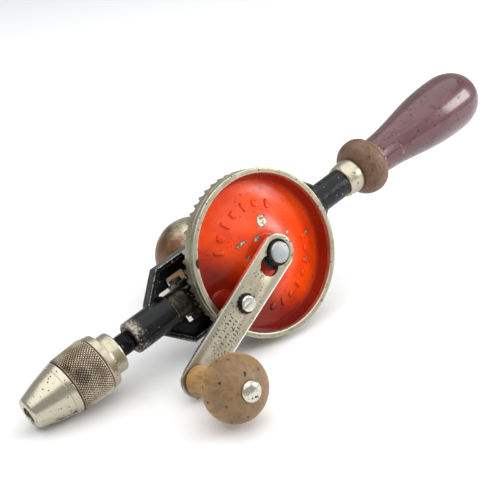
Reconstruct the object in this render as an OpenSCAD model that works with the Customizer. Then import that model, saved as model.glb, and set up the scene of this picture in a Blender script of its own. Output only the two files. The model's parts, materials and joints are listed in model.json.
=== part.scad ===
// Hand drill: a cranked drive wheel turns one pinion, a spindle and a three-jaw chuck.
// Each module works in the tool frame. The wheel's axle crosses the spindle at the
// origin, -X runs to the chuck, +X to the main handle, -Y out of the wheel, +Z is up.
// laid() then lays the tool on its side, as it rests on a bench: on the wheel's rim,
// the side knob and the chuck. It puts the origin between the tips of the jaws.

/* [Drive] */
// Teeth on the drive wheel
wheel_teeth = 56; // [52:4:60]
// Teeth on the pinion
pinion_teeth = 14; // [13:1:15]
// Module of both gears
gear_module = 1.5; // [1.4:0.05:1.6]
// Width of the wheel's toothed ring along a radius
ring_w = 3.6; // [3.2:0.1:4.5]
// Play between meshing tooth flanks
backlash = 0.9; // [0.8:0.05:1.1]
// Width of the pinion's teeth along the spindle
pinion_w = 4.6; // [4.2:0.1:6]
// Radius of the pinion's front hub
pinion_hub_r = 7.5; // [6.5:0.1:8]
// Length of the pinion's front hub
pinion_hub_len = 8; // [6:0.1:10]
// Thickness of the washer between the pinion and the barrel
front_washer_t = 1.2; // [0.8:0.1:1.6]
// Diameter of the pin through the pinion's hub
pin_d = 2.5; // [2:0.1:3]

/* [Drive wheel] */
// Distance from the spindle to the front edge of the rim
rim_front = 20.8; // [18:0.1:24]
// Width of the lip round the red dish
lip_w = 2.8; // [2.2:0.1:3.5]
// Thickness of the wheel's web
web_t = 2; // [1.6:0.1:2.4]
// Height of the web's dome above the dish floor
dome_rise = 9; // [6:0.5:11]
// Thickness of the hub round the keyhole's seat
hub_wall = 2; // [1.6:0.1:3]
// Thickness of the lip that the arm's keyhole sits on
hub_lip_w = 0.85; // [0.7:0.05:1.2]
// Height of the hub's front face above the rim's front edge
hub_proud = 6.7; // [5:0.1:9]

/* [Crank] */
// Distance from the axle to the knob's rivet
crank_reach = 77; // [65:1:95]
// Direction of the crank at rest, counted from the handle side
crank_angle = 200.5; // [180:1:230]
// Width of metal beside the keyhole's large hole
arm_edge = 2.5; // [2:0.1:4]
// Width of the arm at the knob
arm_tip_w = 16.6; // [15:0.1:20]
// Thickness of the arm
arm_t = 2.5; // [2:0.1:3.5]
// Radius of the keyhole's small hole
keyhole_small_r = 5.4; // [4:0.1:6]
// Distance between the keyhole's two holes
keyhole_step = 8.7; // [7:0.1:10]
// Distance from the axle to the arm's screw
screw_reach = 31.9; // [26:0.1:34]
// Diameter of the arm's screw
screw_d = 4; // [3:0.1:5]
// Diameter of the screw's head
screw_head_d = 8; // [7:0.1:9]
// Height of the screw's head
screw_head_h = 2.4; // [1.6:0.1:3]
// Width of the slots in the screw's head
slot_w = 1; // [0.8:0.1:1.2]
// Diameter of the lock washer
lock_d = 10.4; // [9:0.1:11]
// Thickness of the lock washer
lock_t = 0.7; // [0.5:0.1:1]

/* [Crank knob] */
// Largest radius of the knob
knob_r = 15.9; // [14:0.1:18]
// Half the length of the knob's round head
knob_half = 13.3; // [12:0.1:15]
// Distance from the arm to the centre of the head
knob_centre = 33; // [30:0.1:40]
// Radius of the knob's neck
knob_neck_r = 6.2; // [5:0.1:7]
// Radius of the flange beside the arm
knob_flange_r = 7.6; // [7:0.1:9]
// Diameter of the rivet that the knob turns on
rivet_d = 5; // [4:0.1:6]
// Diameter of the rivet's head
rivet_head_d = 10; // [9:0.1:12]

/* [Frame] */
// Thickness of the barrel's wall round the bushes
barrel_wall = 2.1; // [1.8:0.1:2.6]
// Half the height of the frame's tray
tray_half = 22; // [20:0.5:26]
// Distance from the barrel's inner end back to the tray's front corners
tray_step = 3.5; // [0.5:0.1:4.5]
// Distance from the axle to the tray's rear corners
tray_rear = 45; // [35:0.5:50]
// Distance the slanted front walls run along the spindle
front_slant = 13.4; // [9:0.1:18]
// Distance the slanted rear walls run along the spindle
rear_slant = 13.4; // [9:0.1:18]
// Thickness of the tray's border wall
wall_t = 2.5; // [2:0.1:3.5]
// Height of the border wall, from its front edge to the back of the web
wall_h = 7.5; // [6:0.1:9]
// Distance from the spindle to the wall's front edge, on the wheel's side
wall_front = 2.5; // [2:0.1:4]
// Thickness of the tray's web
tray_t = 2.5; // [2:0.1:3.5]
// Clearance of the window in the tray round the pinion
window_gap = 1.4; // [1:0.1:1.6]
// Chamfer on the barrel's mouth
mouth_break = 0.6; // [0.4:0.1:0.8]
// Clearance between the rear shank and the wheel's teeth
shank_gap = 1.025; // [0.8:0.025:1.6]
// Length of the shank between the tray and the handle
shank_len = 17.6; // [14:0.2:30]
// Radius of the tang inside the handle
tang_r = 4.5; // [4:0.1:5.5]
// Length of the tang inside the handle
tang_len = 48; // [30:1:70]

/* [Axle and side knob] */
// Diameter of the axle
axle_d = 8; // [7:0.1:9]
// Overhang of the axle's head round the axle
axle_head_step = 1.5; // [1:0.1:1.8]
// Chamfer on the axle's head
head_break = 0.7; // [0.4:0.1:1]
// Height of the axle's head
axle_head_h = 5; // [3:0.1:6]
// Thickness of the washer behind the wheel
washer_t = 1.2; // [0.8:0.1:1.6]
// Radius of the side knob's ball
side_r = 22.6; // [20:0.1:26]
// Distance from the spindle to the centre of the side knob
side_centre = 56; // [50:0.5:64]
// Radius of the side knob's neck
side_neck_r = 8; // [7:0.1:9.5]
// Diameter of the side knob's stud
side_stud_d = 6; // [5:0.1:7]

/* [Bearings] */
// Diameter of the spindle in its bushes
spindle_d = 9.5; // [9:0.1:9.8]
// Thickness of both spindle bushes
bush_wall = 1.75; // [1.5:0.05:2]
// Length of the front bush
front_bush_len = 24; // [16:0.5:25]
// Distance from the axle to the rear bush
rear_bush_back = 15; // [13:0.5:22]
// Thickness of the ball bearing's race
race_t = 1.2; // [1:0.1:1.6]
// Diameter of the thrust balls
ball_d = 2.3; // [2:0.1:2.6]
// Number of thrust balls
ball_count = 10; // [6:1:12]
// Thickness of the wheel's bush
hub_bush_wall = 2; // [1.6:0.1:2.5]

/* [Chuck] */
// Length of bare spindle between the barrel and the chuck
chuck_gap = 9.6; // [8:0.2:14]
// Length of the nose cone
nose_len = 21.3; // [18:0.1:24]
// Radius of the nose at its front
nose_front_r = 8; // [7.5:0.1:9]
// Radius of the hole in the nose
mouth_r = 4; // [3.6:0.1:4.4]
// Length of the knurled sleeve
sleeve_len = 17.8; // [17:0.1:19]
// Thickness of the sleeve at its front
sleeve_wall = 1.8; // [1.6:0.1:2.4]
// Growth of the sleeve's radius from front to rear
sleeve_flare = 0.6; // [0:0.1:1.2]
// Length of the rear collar
collar_len = 11.5; // [10:0.1:13]
// Thickness of the collar's rear part
collar_wall = 1.6; // [1.2:0.1:2.5]
// Growth of the spindle's diameter at its chuck thread
thread_step = 1.5; // [1:0.1:1.8]
// Radius of the rods that the jaws are made from
jaw_r = 2.2; // [2:0.05:2.3]
// Angle between a jaw and the spindle
jaw_angle = 10; // [9:0.5:11]
// Room behind the jaws at rest, from the collar's front
jaw_room = 5.9; // [5.5:0.1:6.5]
// Radius of the hole between the jaws at rest
grip_r = 2.5; // [2.3:0.05:2.7]
// Distance the jaws slide forward from rest to shut
jaw_close = 7; // [5:0.5:8]
// Distance the jaws slide back from rest to open
jaw_open = 5; // [3:0.5:5]
// Length of the jaw nut
nut_len = 6; // [5:0.1:6.2]
// Thickness of the jaw nut at its rear
nut_wall = 2.16; // [1.8:0.02:2.6]

/* [Main handle] */
// Length of the handle behind the bead
grip_len = 96; // [80:1:130]
// Largest radius of the handle
grip_max_r = 18.4; // [16:0.1:22]
// Distance from the handle's end to its widest place
grip_swell = 24; // [18:0.5:30]
// Radius of the handle's neck behind the bead
grip_neck_r = 11.2; // [10:0.1:13]
// Radius of the bead
bead_r = 16.8; // [14:0.1:19]
// Length of the bead
bead_len = 15; // [12:0.1:18]
// Length of the ferrule
ferrule_len = 11; // [9:0.1:15]
// Height of the ferrule above the shank
ferrule_step = 1.9; // [1.6:0.1:3]

/* [Fits] */
// Radial play between parts that are fixed together
fixed_gap = 0.02; // [0.01:0.01:0.05]
// Radial play of a shaft that turns in its bush
run_gap = 0.05; // [0.03:0.01:0.1]
// End play between faces that turn on each other
end_gap = 0.1; // [0.1:0.05:0.3]
// Gap between covers that turn past each other
cover_gap = 0.2; // [0.15:0.05:0.4]
// Play of the arm's keyhole on the hub's lip
keyhole_gap = 0.15; // [0.1:0.05:0.3]
// Play between the jaw nut and the jaws
nut_gap = 0.12; // [0.1:0.02:0.2]

/* [Hidden] */
$fn = 72;
eps = 0.5; // overshoot of cuts past a face

// Gears: straight crown teeth on the wheel, spur teeth on the pinion
wheel_pitch_r = gear_module * wheel_teeth / 2;
pinion_pitch_r = gear_module * pinion_teeth / 2;
addendum = 0.85 * gear_module;
dedendum = 1.1 * gear_module;
flank = 20;
tooth_half = (PI * gear_module - backlash) / 4;
rim_r = wheel_pitch_r + 2;
ring_r = rim_r - ring_w;
tooth_tip = pinion_pitch_r - addendum;
tooth_root = pinion_pitch_r + dedendum;

// Bores and walls that follow from what runs in them
bush_d = spindle_d + 2 * bush_wall;
barrel_r = bush_d / 2 + barrel_wall;
shank_r = tooth_tip - shank_gap;
hub_bush_d = axle_d + 2 * hub_bush_wall;
axle_head_d = axle_d + 2 * axle_head_step;
keyhole_r = hub_bush_d / 2 + hub_lip_w + keyhole_gap;
hub_r = keyhole_r + hub_wall;
arm_w = 2 * (keyhole_r + arm_edge);
thread_d = spindle_d + thread_step;
ferrule_r = shank_r + ferrule_step;

// Drive wheel, counted outward from the spindle
body_r = max(barrel_r, shank_r);
boss_r = body_r + 0.8;
hub_front = rim_front + hub_proud;
boss_face = body_r + 0.2;
hub_back = boss_face + washer_t + 2 * end_gap;
web_back = body_r + 0.9;
dish_floor = web_back + web_t;
web_edge_r = ring_r - 0.6;
dish_r = web_edge_r - 1.6;
arm_front = hub_front + arm_t;
knob_seat_r = rivet_head_d / 2 + 0.1;
knob_len = knob_centre + knob_half * sqrt(1 - pow(knob_seat_r / knob_r, 2));
screw_boss_r = screw_d / 2 + 4;
dome_steps = 10;
hub_lip_h = 1.2;

// Spindle line, counted forward from the axle
shoulder_len = 1; // shoulder of the pinion that runs on the thrust balls
shoulder_r = pinion_pitch_r - dedendum - 0.65;
teeth_back = ring_r + cover_gap;
teeth_front = teeth_back + pinion_w;
pinion_back = teeth_back - shoulder_len;
pinion_front = teeth_front + pinion_hub_len;
race_front = pinion_back - ball_d - end_gap;
ball_plane = race_front + end_gap / 2 + ball_d / 2;
rear_bush_front = race_front - race_t;
rear_bush_len = rear_bush_front - rear_bush_back;
barrel_back = pinion_front + end_gap + front_washer_t;
window_front = barrel_back;
front_stop = 1.5; // barrel metal behind the front bush
barrel_front = barrel_back + front_stop + front_bush_len;
pin_place = (teeth_front + pinion_front) / 2;
window_half = pinion_pitch_r + addendum + window_gap;
frame_reach = 2 * tray_half;
ball_circle_r = spindle_d / 2 + run_gap + ball_d / 2 + 0.65;
race_r = barrel_r - 0.4;
tray_front = window_front - tray_step;
tray_nose = tray_front + front_slant;
tray_tail = tray_rear + rear_slant;

// Chuck, counted forward from the axle
collar_back = barrel_front + chuck_gap;
collar_front = collar_back + collar_len;
sleeve_back = collar_front + cover_gap;
sleeve_front = sleeve_back + sleeve_len;
nose_back = sleeve_front + cover_gap;
nose_reach = nose_back + nose_len;
jaw_tip = nose_reach - 1.6;
jaw_back = collar_front + jaw_room;
jaw_len = jaw_tip - jaw_back;
thread_front = collar_front + 2;
jaw_tip_r = grip_r + 0.1;
nut_back = jaw_back + 1;
nut_front = nut_back + nut_len;
groove_gap = 0.4;
sleeve_bore_r = jaw_outside(nut_back) + nut_gap + nut_wall + fixed_gap;
sleeve_front_r = sleeve_bore_r + sleeve_wall;
sleeve_r = sleeve_front_r + sleeve_flare;
nose_rear_r = sleeve_front_r - 0.4;
core_r = sleeve_bore_r - run_gap * 2;
neck_core_r = thread_d / 2 + 3.5;
groove_r = jaw_outside(nut_front) + nut_gap - 0.36;
collar_r = neck_core_r + collar_wall;

// Handle, counted back from the axle
shank_end = tray_tail + shank_len;
ferrule_end = shank_end + ferrule_len;
bead_end = ferrule_end + bead_len;
handle_end = bead_end + grip_len;
swell_place = handle_end - grip_swell;
tenon_r = shank_r - 0.4;

// Resting pose: the normal of the bench seen from the tool frame
pose_reach = side_centre + tooth_tip;
lean_sum = acos(side_r / norm([rim_r, pose_reach]));
lean_sine = sin(lean_sum - atan(pose_reach / rim_r));
axle_height = side_r + lean_sine * side_centre;
chuck_foot = sleeve_front - 0.8;
pitch = asin(axle_height / norm([chuck_foot, sleeve_front_r]))
    - atan(sleeve_front_r / chuck_foot);
lean = asin(lean_sine / cos(pitch));

// Lays the tool on the bench with the jaw tips at the origin
module laid() {
    rotate([-lean, -pitch, 0]) translate([jaw_tip, 0, 0]) children();
}

// Places children at a distance ahead on the spindle, their +Z to the chuck
module ahead(distance = 0) {
    translate([-distance, 0, 0]) rotate([0, -90, 0]) children();
}

// Places children behind the axle, their +Z to the main handle
module behind(distance = 0) {
    translate([distance, 0, 0]) rotate([0, 90, 0]) children();
}

// Places children on the axle, their +Z out of the wheel
module outboard(distance = 0) {
    translate([0, -distance, 0]) rotate([90, 0, 0]) children();
}

// Places children on the axle, their +Z to the side knob
module inboard(distance = 0) {
    translate([0, distance, 0]) rotate([-90, 0, 0]) children();
}

// Places children along the crank, their +Z out of the wheel
module on_crank(reach, distance) {
    outboard(distance) rotate(crank_angle) translate([reach, 0, 0]) children();
}

// A ring between two radii
module ring(outer, inner, height) {
    difference() {
        cylinder(r = outer, h = height);
        translate([0, 0, -eps]) cylinder(r = inner, h = height + 2 * eps);
    }
}

// Unit vector from one point to the next
function heading(a, b) = (b - a) / norm(b - a);

// Corner q of an outline p-q-s moved inward by d, for a clockwise outline
function inset_corner(p, q, s, d) =
    let (
        a = heading(p, q),
        b = heading(q, s),
        na = [a[1], -a[0]],
        nb = [b[1], -b[0]]
    ) q + (na + nb) * d / (1 + na * nb);

// An outline moved inward by d
function inset(points, d) =
    let (n = len(points))
    [for (i = [0 : n - 1]) inset_corner(points[(i + n - 1) % n], points[i], points[(i + 1) % n], d)];

// Points of a cubic curve through a and d, steered by b and c
function curve(a, b, c, d, steps) = [
    for (i = [0 : steps])
        let (t = i / steps, s = 1 - t)
        s * s * s * a + 3 * s * s * t * b + 3 * s * t * t * c + t * t * t * d
];

// Points of an arc about a centre, from one angle to another
function arc(centre, radius, from, to, steps) = [
    for (i = [0 : steps])
        let (t = from + (to - from) * i / steps)
        centre + radius * [cos(t), sin(t)]
];

// Place of the dome's surface over a base plane at radius r
function dome(base, r) = base + dome_rise * (1 + cos(180 * (r - hub_r) / (dish_r - hub_r))) / 2;

// Point on the crank knob's round head at angle t, in radius and distance from the arm
function knob_point(t) = [knob_r * cos(t), knob_centre + knob_half * sin(t)];

// Radius of the outside of the jaws at a place on the spindle
function jaw_outside(s) = jaw_tip_r + (jaw_tip - s) * tan(jaw_angle) + jaw_r / cos(jaw_angle);

// Clockwise outline of the frame's tray in X and Z
tray_points = [
    [-tray_nose, barrel_r], [-tray_front, tray_half], [tray_rear, tray_half],
    [tray_tail, shank_r], [tray_tail, -shank_r],
    [tray_rear, -tray_half], [-tray_front, -tray_half], [-tray_nose, -barrel_r]
];

// Plate in X and Z that runs from one distance outboard to another
module tray_plate(points, from, to) {
    outboard(from) linear_extrude(to - from) polygon(points);
}

// Cuts through the frame from the rear bush to a place ahead of it, to a half height
module through_window(front, half) {
    translate([-front, -frame_reach, -half])
        cube([front - rear_bush_front, 2 * frame_reach, 2 * half]);
}

module frame_casting() laid() color("#1c1f22") difference() {
    union() {
        tray_plate(tray_points, wall_front - wall_h, wall_front - wall_h + tray_t);
        difference() {
            tray_plate(tray_points, wall_front - wall_h, wall_front);
            tray_plate(inset(tray_points, wall_t), wall_front - wall_h - eps, wall_front + eps);
        }
        ahead(barrel_back) cylinder(r = barrel_r, h = barrel_front - barrel_back - mouth_break);
        ahead(barrel_front - mouth_break)
            cylinder(r1 = barrel_r, r2 = barrel_r - mouth_break, h = mouth_break);
        ahead(0) cylinder(r = barrel_r, h = rear_bush_front);
        behind(0) cylinder(r = shank_r, h = shank_end);
        behind(shank_end - eps) cylinder(r = tang_r, h = tang_len + eps);
        outboard(-boss_face) cylinder(r = boss_r, h = 2 * boss_face);
    }
    // Window for the pinion, open on both sides, wide at its teeth and narrow at its hub
    through_window(teeth_front + window_gap, window_half);
    through_window(window_front, pinion_hub_r + window_gap);
    // Bores for the bushes and the spindle's rear end
    ahead(barrel_back - eps) cylinder(r = spindle_d / 2 + 0.4, h = 3);
    ahead(barrel_front - front_bush_len) cylinder(r = bush_d / 2, h = front_bush_len + eps);
    ahead(rear_bush_front - rear_bush_len) cylinder(r = bush_d / 2, h = rear_bush_len + eps);
    ahead(rear_bush_front - rear_bush_len - 3) cylinder(r = spindle_d / 2 + 0.3, h = 4);
    // Tapped holes for the axle and the side knob's stud
    outboard(-2.2) cylinder(r = axle_d / 2 + fixed_gap, h = boss_face + 2.2 + eps);
    inboard(3) cylinder(r = side_stud_d / 2 + fixed_gap, h = boss_face - 3 + eps);
}

module front_bush() laid() color("#8a6a35")
    ahead(barrel_front - front_bush_len)
        ring(bush_d / 2 - fixed_gap, spindle_d / 2 + run_gap, front_bush_len);

module rear_bush() laid() color("#8a6a35")
    ahead(rear_bush_front - rear_bush_len)
        ring(bush_d / 2 - fixed_gap, spindle_d / 2 + run_gap, rear_bush_len);

module thrust_race() laid() color("#8d8f92")
    ahead(rear_bush_front) ring(race_r, spindle_d / 2 + run_gap, race_t);

module front_washer() laid() color("#a98a4a")
    ahead(pinion_front + end_gap)
        ring(pinion_hub_r - 0.2, spindle_d / 2 + 0.1, front_washer_t);

module axle_stud() laid() color("#6d6f70") difference() {
    union() {
        outboard(-1.8) cylinder(r = axle_d / 2, h = hub_front + 1.8 + end_gap);
        outboard(hub_front + end_gap) cylinder(r = axle_head_d / 2, h = axle_head_h - head_break);
        outboard(hub_front + end_gap + axle_head_h - head_break)
            cylinder(r1 = axle_head_d / 2, r2 = axle_head_d / 2 - head_break, h = head_break);
    }
    // Nick left by a spanner at the edge of the head
    outboard(hub_front + axle_head_h - 0.8) translate([2.6, 1.4, 0]) cube([4, 1, 3]);
}

module axle_washer() laid() color("#9a9a94")
    outboard(boss_face) ring(hub_r, axle_d / 2 + 0.1, washer_t);

module side_knob() laid() color("#a39a7c")
    inboard(0) rotate_extrude() polygon(concat(
        [[side_stud_d / 2 + fixed_gap, boss_face + washer_t], [side_neck_r + 1.5, boss_face + washer_t],
         [side_neck_r + 1.5, boss_face + washer_t + 2]],
        curve([side_neck_r, boss_face + washer_t + 3.5], [side_neck_r, side_centre - side_r],
              [side_neck_r, side_centre - side_r],
              [side_r * sin(28), side_centre - side_r * cos(28)], 6),
        arc([0, side_centre], side_r, -55, 90, 16),
        [[0, side_centre], [side_stud_d / 2 + fixed_gap, side_centre]]
    ));

module side_knob_stud() laid() color("#77797b")
    inboard(3.4) cylinder(r = side_stud_d / 2, h = side_centre - 4);

module side_knob_washer() laid() color("#9a9a94")
    inboard(boss_face) ring(boss_r - 0.8, side_stud_d / 2 + fixed_gap, washer_t);

// Half outline of the handle in radius and distance behind the axle
handle_points = concat(
    [[0, shank_end], [tenon_r, shank_end], [tenon_r, ferrule_end],
     [ferrule_r, ferrule_end]],
    [for (i = [1 : 9])
        let (t = -80 + 16 * i)
        [ferrule_r + (bead_r - ferrule_r) * pow(cos(t), 0.6),
         (ferrule_end + bead_end) / 2 + bead_len / 2 * sin(t)]],
    curve([grip_neck_r, bead_end + 1], [grip_neck_r + 0.4, bead_end + 30],
          [grip_max_r, swell_place - 32], [grip_max_r, swell_place], 12),
    [for (i = [1 : 9])
        let (t = 1 - pow(1 - i / 9, 2))
        [grip_max_r * pow(1 - pow(t, 2.3), 1 / 2.3), swell_place + grip_swell * t]]
);

module main_handle() laid() color("#70474c") difference() {
    behind(0) rotate_extrude() polygon(handle_points);
    behind(shank_end - eps) cylinder(r = tang_r + fixed_gap, h = tang_len + 2 * eps);
}

module handle_ferrule() laid() color("#b9b39c")
    behind(0) rotate_extrude() polygon([
        [tenon_r + fixed_gap, shank_end], [tenon_r + fixed_gap, ferrule_end - fixed_gap],
        [ferrule_r - 0.3, ferrule_end - fixed_gap], [ferrule_r, ferrule_end - 1.5],
        [ferrule_r, shank_end + 6], [ferrule_r - 0.5, shank_end + 2.5],
        [shank_r + 1.2, shank_end + 0.6], [shank_r + 0.7, shank_end]
    ]);

// One straight crown tooth, lying along +X with its tip at z = tooth_tip
module crown_tooth() {
    tip = tooth_half - addendum * tan(flank);
    root = tooth_half + dedendum * tan(flank);
    translate([ring_r, 0, 0]) rotate([90, 0, 90]) linear_extrude(ring_w - 0.1) polygon([
        [-tip, tooth_tip], [tip, tooth_tip], [root, tooth_root], [root, tooth_root + eps],
        [-root, tooth_root + eps], [-root, tooth_root]
    ]);
}

// Half section of the wheel's casting in radius and distance outboard
wheel_points = concat(
    [[hub_bush_d / 2, hub_back], [hub_r, hub_back]],
    [for (i = [0 : dome_steps])
        let (r = hub_r + (dish_r - hub_r) * i / dome_steps) [r, dome(web_back, r)]],
    [[web_edge_r, web_back], [web_edge_r, tooth_root], [rim_r, tooth_root],
     [rim_r, rim_front - 0.6], [rim_r - 0.6, rim_front], [rim_r - lip_w, rim_front],
     [rim_r - lip_w - 0.5, rim_front - 4], [dish_r + 0.9, dish_floor + 1.2]],
    [for (i = [dome_steps : -1 : 0])
        let (r = hub_r + (dish_r - hub_r) * i / dome_steps) [r, dome(dish_floor, r)]],
    [[hub_r, hub_front], [keyhole_r - keyhole_gap, hub_front],
     [keyhole_r - keyhole_gap, hub_front + hub_lip_h],
     [hub_bush_d / 2, hub_front + hub_lip_h]]
);

module drive_wheel() laid() color("#cf3a12") difference() {
    union() {
        outboard() rotate_extrude() polygon(wheel_points);
        outboard() for (i = [0 : wheel_teeth - 1]) rotate(180 + i * 360 / wheel_teeth) crown_tooth();
        on_crank(screw_reach, dish_floor - 0.5)
            cylinder(r = screw_boss_r, h = hub_front - dish_floor + 0.5);
    }
    on_crank(screw_reach, dish_floor + 2) cylinder(r = screw_d / 2 + fixed_gap, h = hub_front);
}

module hub_bush() laid() color("#8a6a35")
    outboard(hub_back) ring(hub_bush_d / 2 - fixed_gap, axle_d / 2 + run_gap, hub_front - hub_back);

// Outline of the crank arm along +X, from the axle to the knob
module arm_outline() {
    circle(d = arm_w);
    translate([crank_reach, 0]) circle(d = arm_tip_w);
    polygon([[0, -arm_w / 2], [crank_reach, -arm_tip_w / 2], [crank_reach, arm_tip_w / 2],
             [0, arm_w / 2]]);
}

module crank_arm() laid() color("#b9b39c") on_crank(0, hub_front) linear_extrude(arm_t) difference() {
    arm_outline();
    circle(r = keyhole_r);
    translate([keyhole_step, 0]) circle(r = keyhole_small_r);
    translate([screw_reach, 0]) circle(d = screw_d + 0.3);
    translate([crank_reach, 0]) circle(r = rivet_d / 2 + fixed_gap);
}

module arm_screw() laid() color("#b3b0a4") difference() {
    union() {
        on_crank(screw_reach, dish_floor + 4)
            cylinder(d = screw_d, h = arm_front + lock_t - dish_floor - 4 + 0.1);
        on_crank(screw_reach, arm_front + lock_t)
            cylinder(d = screw_head_d, h = screw_head_h - 0.5);
        on_crank(screw_reach, arm_front + lock_t + screw_head_h - 0.5)
            cylinder(d1 = screw_head_d, d2 = screw_head_d - 1.6, h = 0.5);
    }
    on_crank(screw_reach, arm_front + lock_t + screw_head_h - 1.1)
        rotate(-15) translate([-screw_head_d, -slot_w / 2, 0]) cube([2 * screw_head_d, slot_w, 2]);
}

module lock_washer() laid() color("#3f403d") on_crank(screw_reach, arm_front) linear_extrude(lock_t)
    difference() {
        circle(d = lock_d);
        circle(d = screw_d + 0.2);
        for (i = [0 : 13]) rotate(i * 360 / 14) translate([lock_d / 2, 0]) circle(r = 0.55);
    }

// Knob parts sit on the crank, counted from the arm's front face
module knob_rivet() laid() color("#b3b0a4") on_crank(crank_reach, 0) union() {
    translate([0, 0, hub_front - 0.9]) cylinder(d = rivet_d + 3, h = 0.9);
    translate([0, 0, hub_front - eps])
        cylinder(d = rivet_d, h = arm_t + knob_len + 2 * eps + end_gap);
    translate([0, 0, arm_front + knob_len + end_gap]) rotate_extrude() polygon(concat(
        [[0, 0], [rivet_head_d / 2, 0]],
        [for (i = [1 : 8]) [rivet_head_d / 2 * cos(i * 11.25), 0.4 + 2.2 * sin(i * 11.25)]]
    ));
}

module knob_washer() laid() color("#4b4a44")
    on_crank(crank_reach, arm_front) ring(knob_flange_r - 1, rivet_d / 2 + run_gap, 0.8);

module crank_knob() laid() color("#a88a66") on_crank(crank_reach, arm_front) rotate_extrude() polygon(concat(
    [[rivet_d / 2 + run_gap, 1], [knob_flange_r - 0.8, 1], [knob_flange_r, 1.8], [knob_flange_r, 3]],
    curve([knob_neck_r + 0.6, 5.5], [knob_neck_r - 0.4, 9], [knob_neck_r - 0.4, 14],
          knob_point(-55), 7),
    [for (i = [1 : 14]) knob_point(-55 + i * (55 + acos(knob_seat_r / knob_r)) / 14)],
    [[rivet_d / 2 + run_gap, knob_len]]
));

module spindle() laid() color("#2b2c2e") difference() {
    union() {
        ahead(rear_bush_front - rear_bush_len - 2)
            cylinder(d = spindle_d, h = barrel_front - rear_bush_front + rear_bush_len + 3);
        ahead(barrel_front + 0.4) cylinder(d = thread_d, h = thread_front - barrel_front - 0.4);
    }
    translate([-pin_place, 0, -10]) cylinder(d = pin_d + 2 * fixed_gap, h = 20);
}

// Section of the pinion, with a space facing out of the wheel
module pinion_section() {
    pitch_angle = 360 / pinion_teeth;
    tip = tooth_half - addendum * tan(flank);
    root = tooth_half + dedendum * tan(flank);
    circle(r = pinion_pitch_r - dedendum);
    for (i = [0 : pinion_teeth - 1]) rotate((i + 0.5) * pitch_angle) polygon([
        [pinion_pitch_r - dedendum - 1, -root], [pinion_pitch_r - dedendum, -root],
        [pinion_pitch_r, -tooth_half], [pinion_pitch_r + addendum, -tip],
        [pinion_pitch_r + addendum, tip], [pinion_pitch_r, tooth_half],
        [pinion_pitch_r - dedendum, root], [pinion_pitch_r - dedendum - 1, root]
    ]);
}

module pinion() laid() color("#8f9092") difference() {
    union() {
        ahead(pinion_back) cylinder(r = shoulder_r, h = teeth_back - pinion_back);
        ahead(teeth_back) rotate(-90) linear_extrude(pinion_w) pinion_section();
        ahead(teeth_front) cylinder(r = pinion_hub_r, h = pinion_front - teeth_front);
    }
    ahead(pinion_back - eps) cylinder(r = spindle_d / 2 + fixed_gap, h = pinion_front - pinion_back + 1);
    translate([-pin_place, 0, -10]) cylinder(d = pin_d + 2 * fixed_gap, h = 20);
}

module pinion_pin() laid() color("#5c5d5e")
    translate([-pin_place, 0, -pinion_hub_r]) cylinder(d = pin_d, h = 2 * pinion_hub_r);

// Turns children to one of the jaws' three places round the spindle
module at_jaw(i) ahead(0) rotate(120 * i + 90) children();

// A rod along a jaw's line, from the nose back
module jaw_rod(radius, from, to) {
    translate([jaw_tip_r, 0, jaw_tip]) rotate([0, -jaw_angle, 0]) translate([0, 0, from])
        cylinder(r = radius, h = to - from);
}

module chuck_body() laid() color("#b9b39c") difference() {
    ahead(0) rotate_extrude() polygon([
        [0, collar_back], [neck_core_r, collar_back], [neck_core_r, collar_front],
        [core_r, collar_front], [core_r, nut_back - groove_gap],
        [groove_r, nut_back - groove_gap], [groove_r, nut_front + groove_gap],
        [core_r, nut_front + groove_gap], [core_r, nose_back], [nose_rear_r, nose_back],
        [nose_rear_r - 0.2, nose_back + 1.5], [nose_front_r + 2.8, nose_reach - 8.5],
        [nose_front_r + 0.1, nose_reach - 0.8], [nose_front_r - 0.7, nose_reach], [0, nose_reach]
    ]);
    ahead(collar_back - eps) cylinder(r = thread_d / 2 + fixed_gap, h = thread_front - collar_back + eps);
    ahead(thread_front - eps) cylinder(r = mouth_r, h = nose_reach);
    for (i = [0 : 2]) at_jaw(i) jaw_rod(jaw_r + run_gap, -jaw_len / cos(jaw_angle) - jaw_open - 1, 12);
}

module chuck_collar() laid() color("#b9b39c") ahead(0) rotate_extrude() polygon(concat(
    [[neck_core_r + fixed_gap, collar_front], [neck_core_r + fixed_gap, collar_back],
     [collar_r - 1.5, collar_back]],
    arc([collar_r - 1.5, collar_back + 1.5], 1.5, -60, 0, 3),
    [[collar_r, collar_front - 6.5]],
    curve([collar_r + 0.1, collar_front - 5.2], [collar_r + 0.4, collar_front - 4.2],
          [sleeve_r - 2.6, collar_front - 4], [sleeve_r - 1.1, collar_front - 3.9], 4),
    [[sleeve_r - 0.6, collar_front - 0.6], [sleeve_r - 0.9, collar_front]]
));

module chuck_sleeve() laid() color("#93866c") ahead(0) rotate_extrude() polygon([
    [sleeve_bore_r, sleeve_back], [sleeve_r - 0.7, sleeve_back], [sleeve_r, sleeve_back + 0.7],
    [sleeve_front_r, sleeve_front - 0.8], [sleeve_front_r - 0.5, sleeve_front],
    [sleeve_bore_r, sleeve_front]
]);

module jaw_nut() laid() color("#8f9092") ahead(0) rotate_extrude() polygon([
    [jaw_outside(nut_back) + nut_gap, nut_back], [sleeve_bore_r - fixed_gap, nut_back],
    [sleeve_bore_r - fixed_gap, nut_front], [jaw_outside(nut_front) + nut_gap, nut_front]
]);

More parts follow.
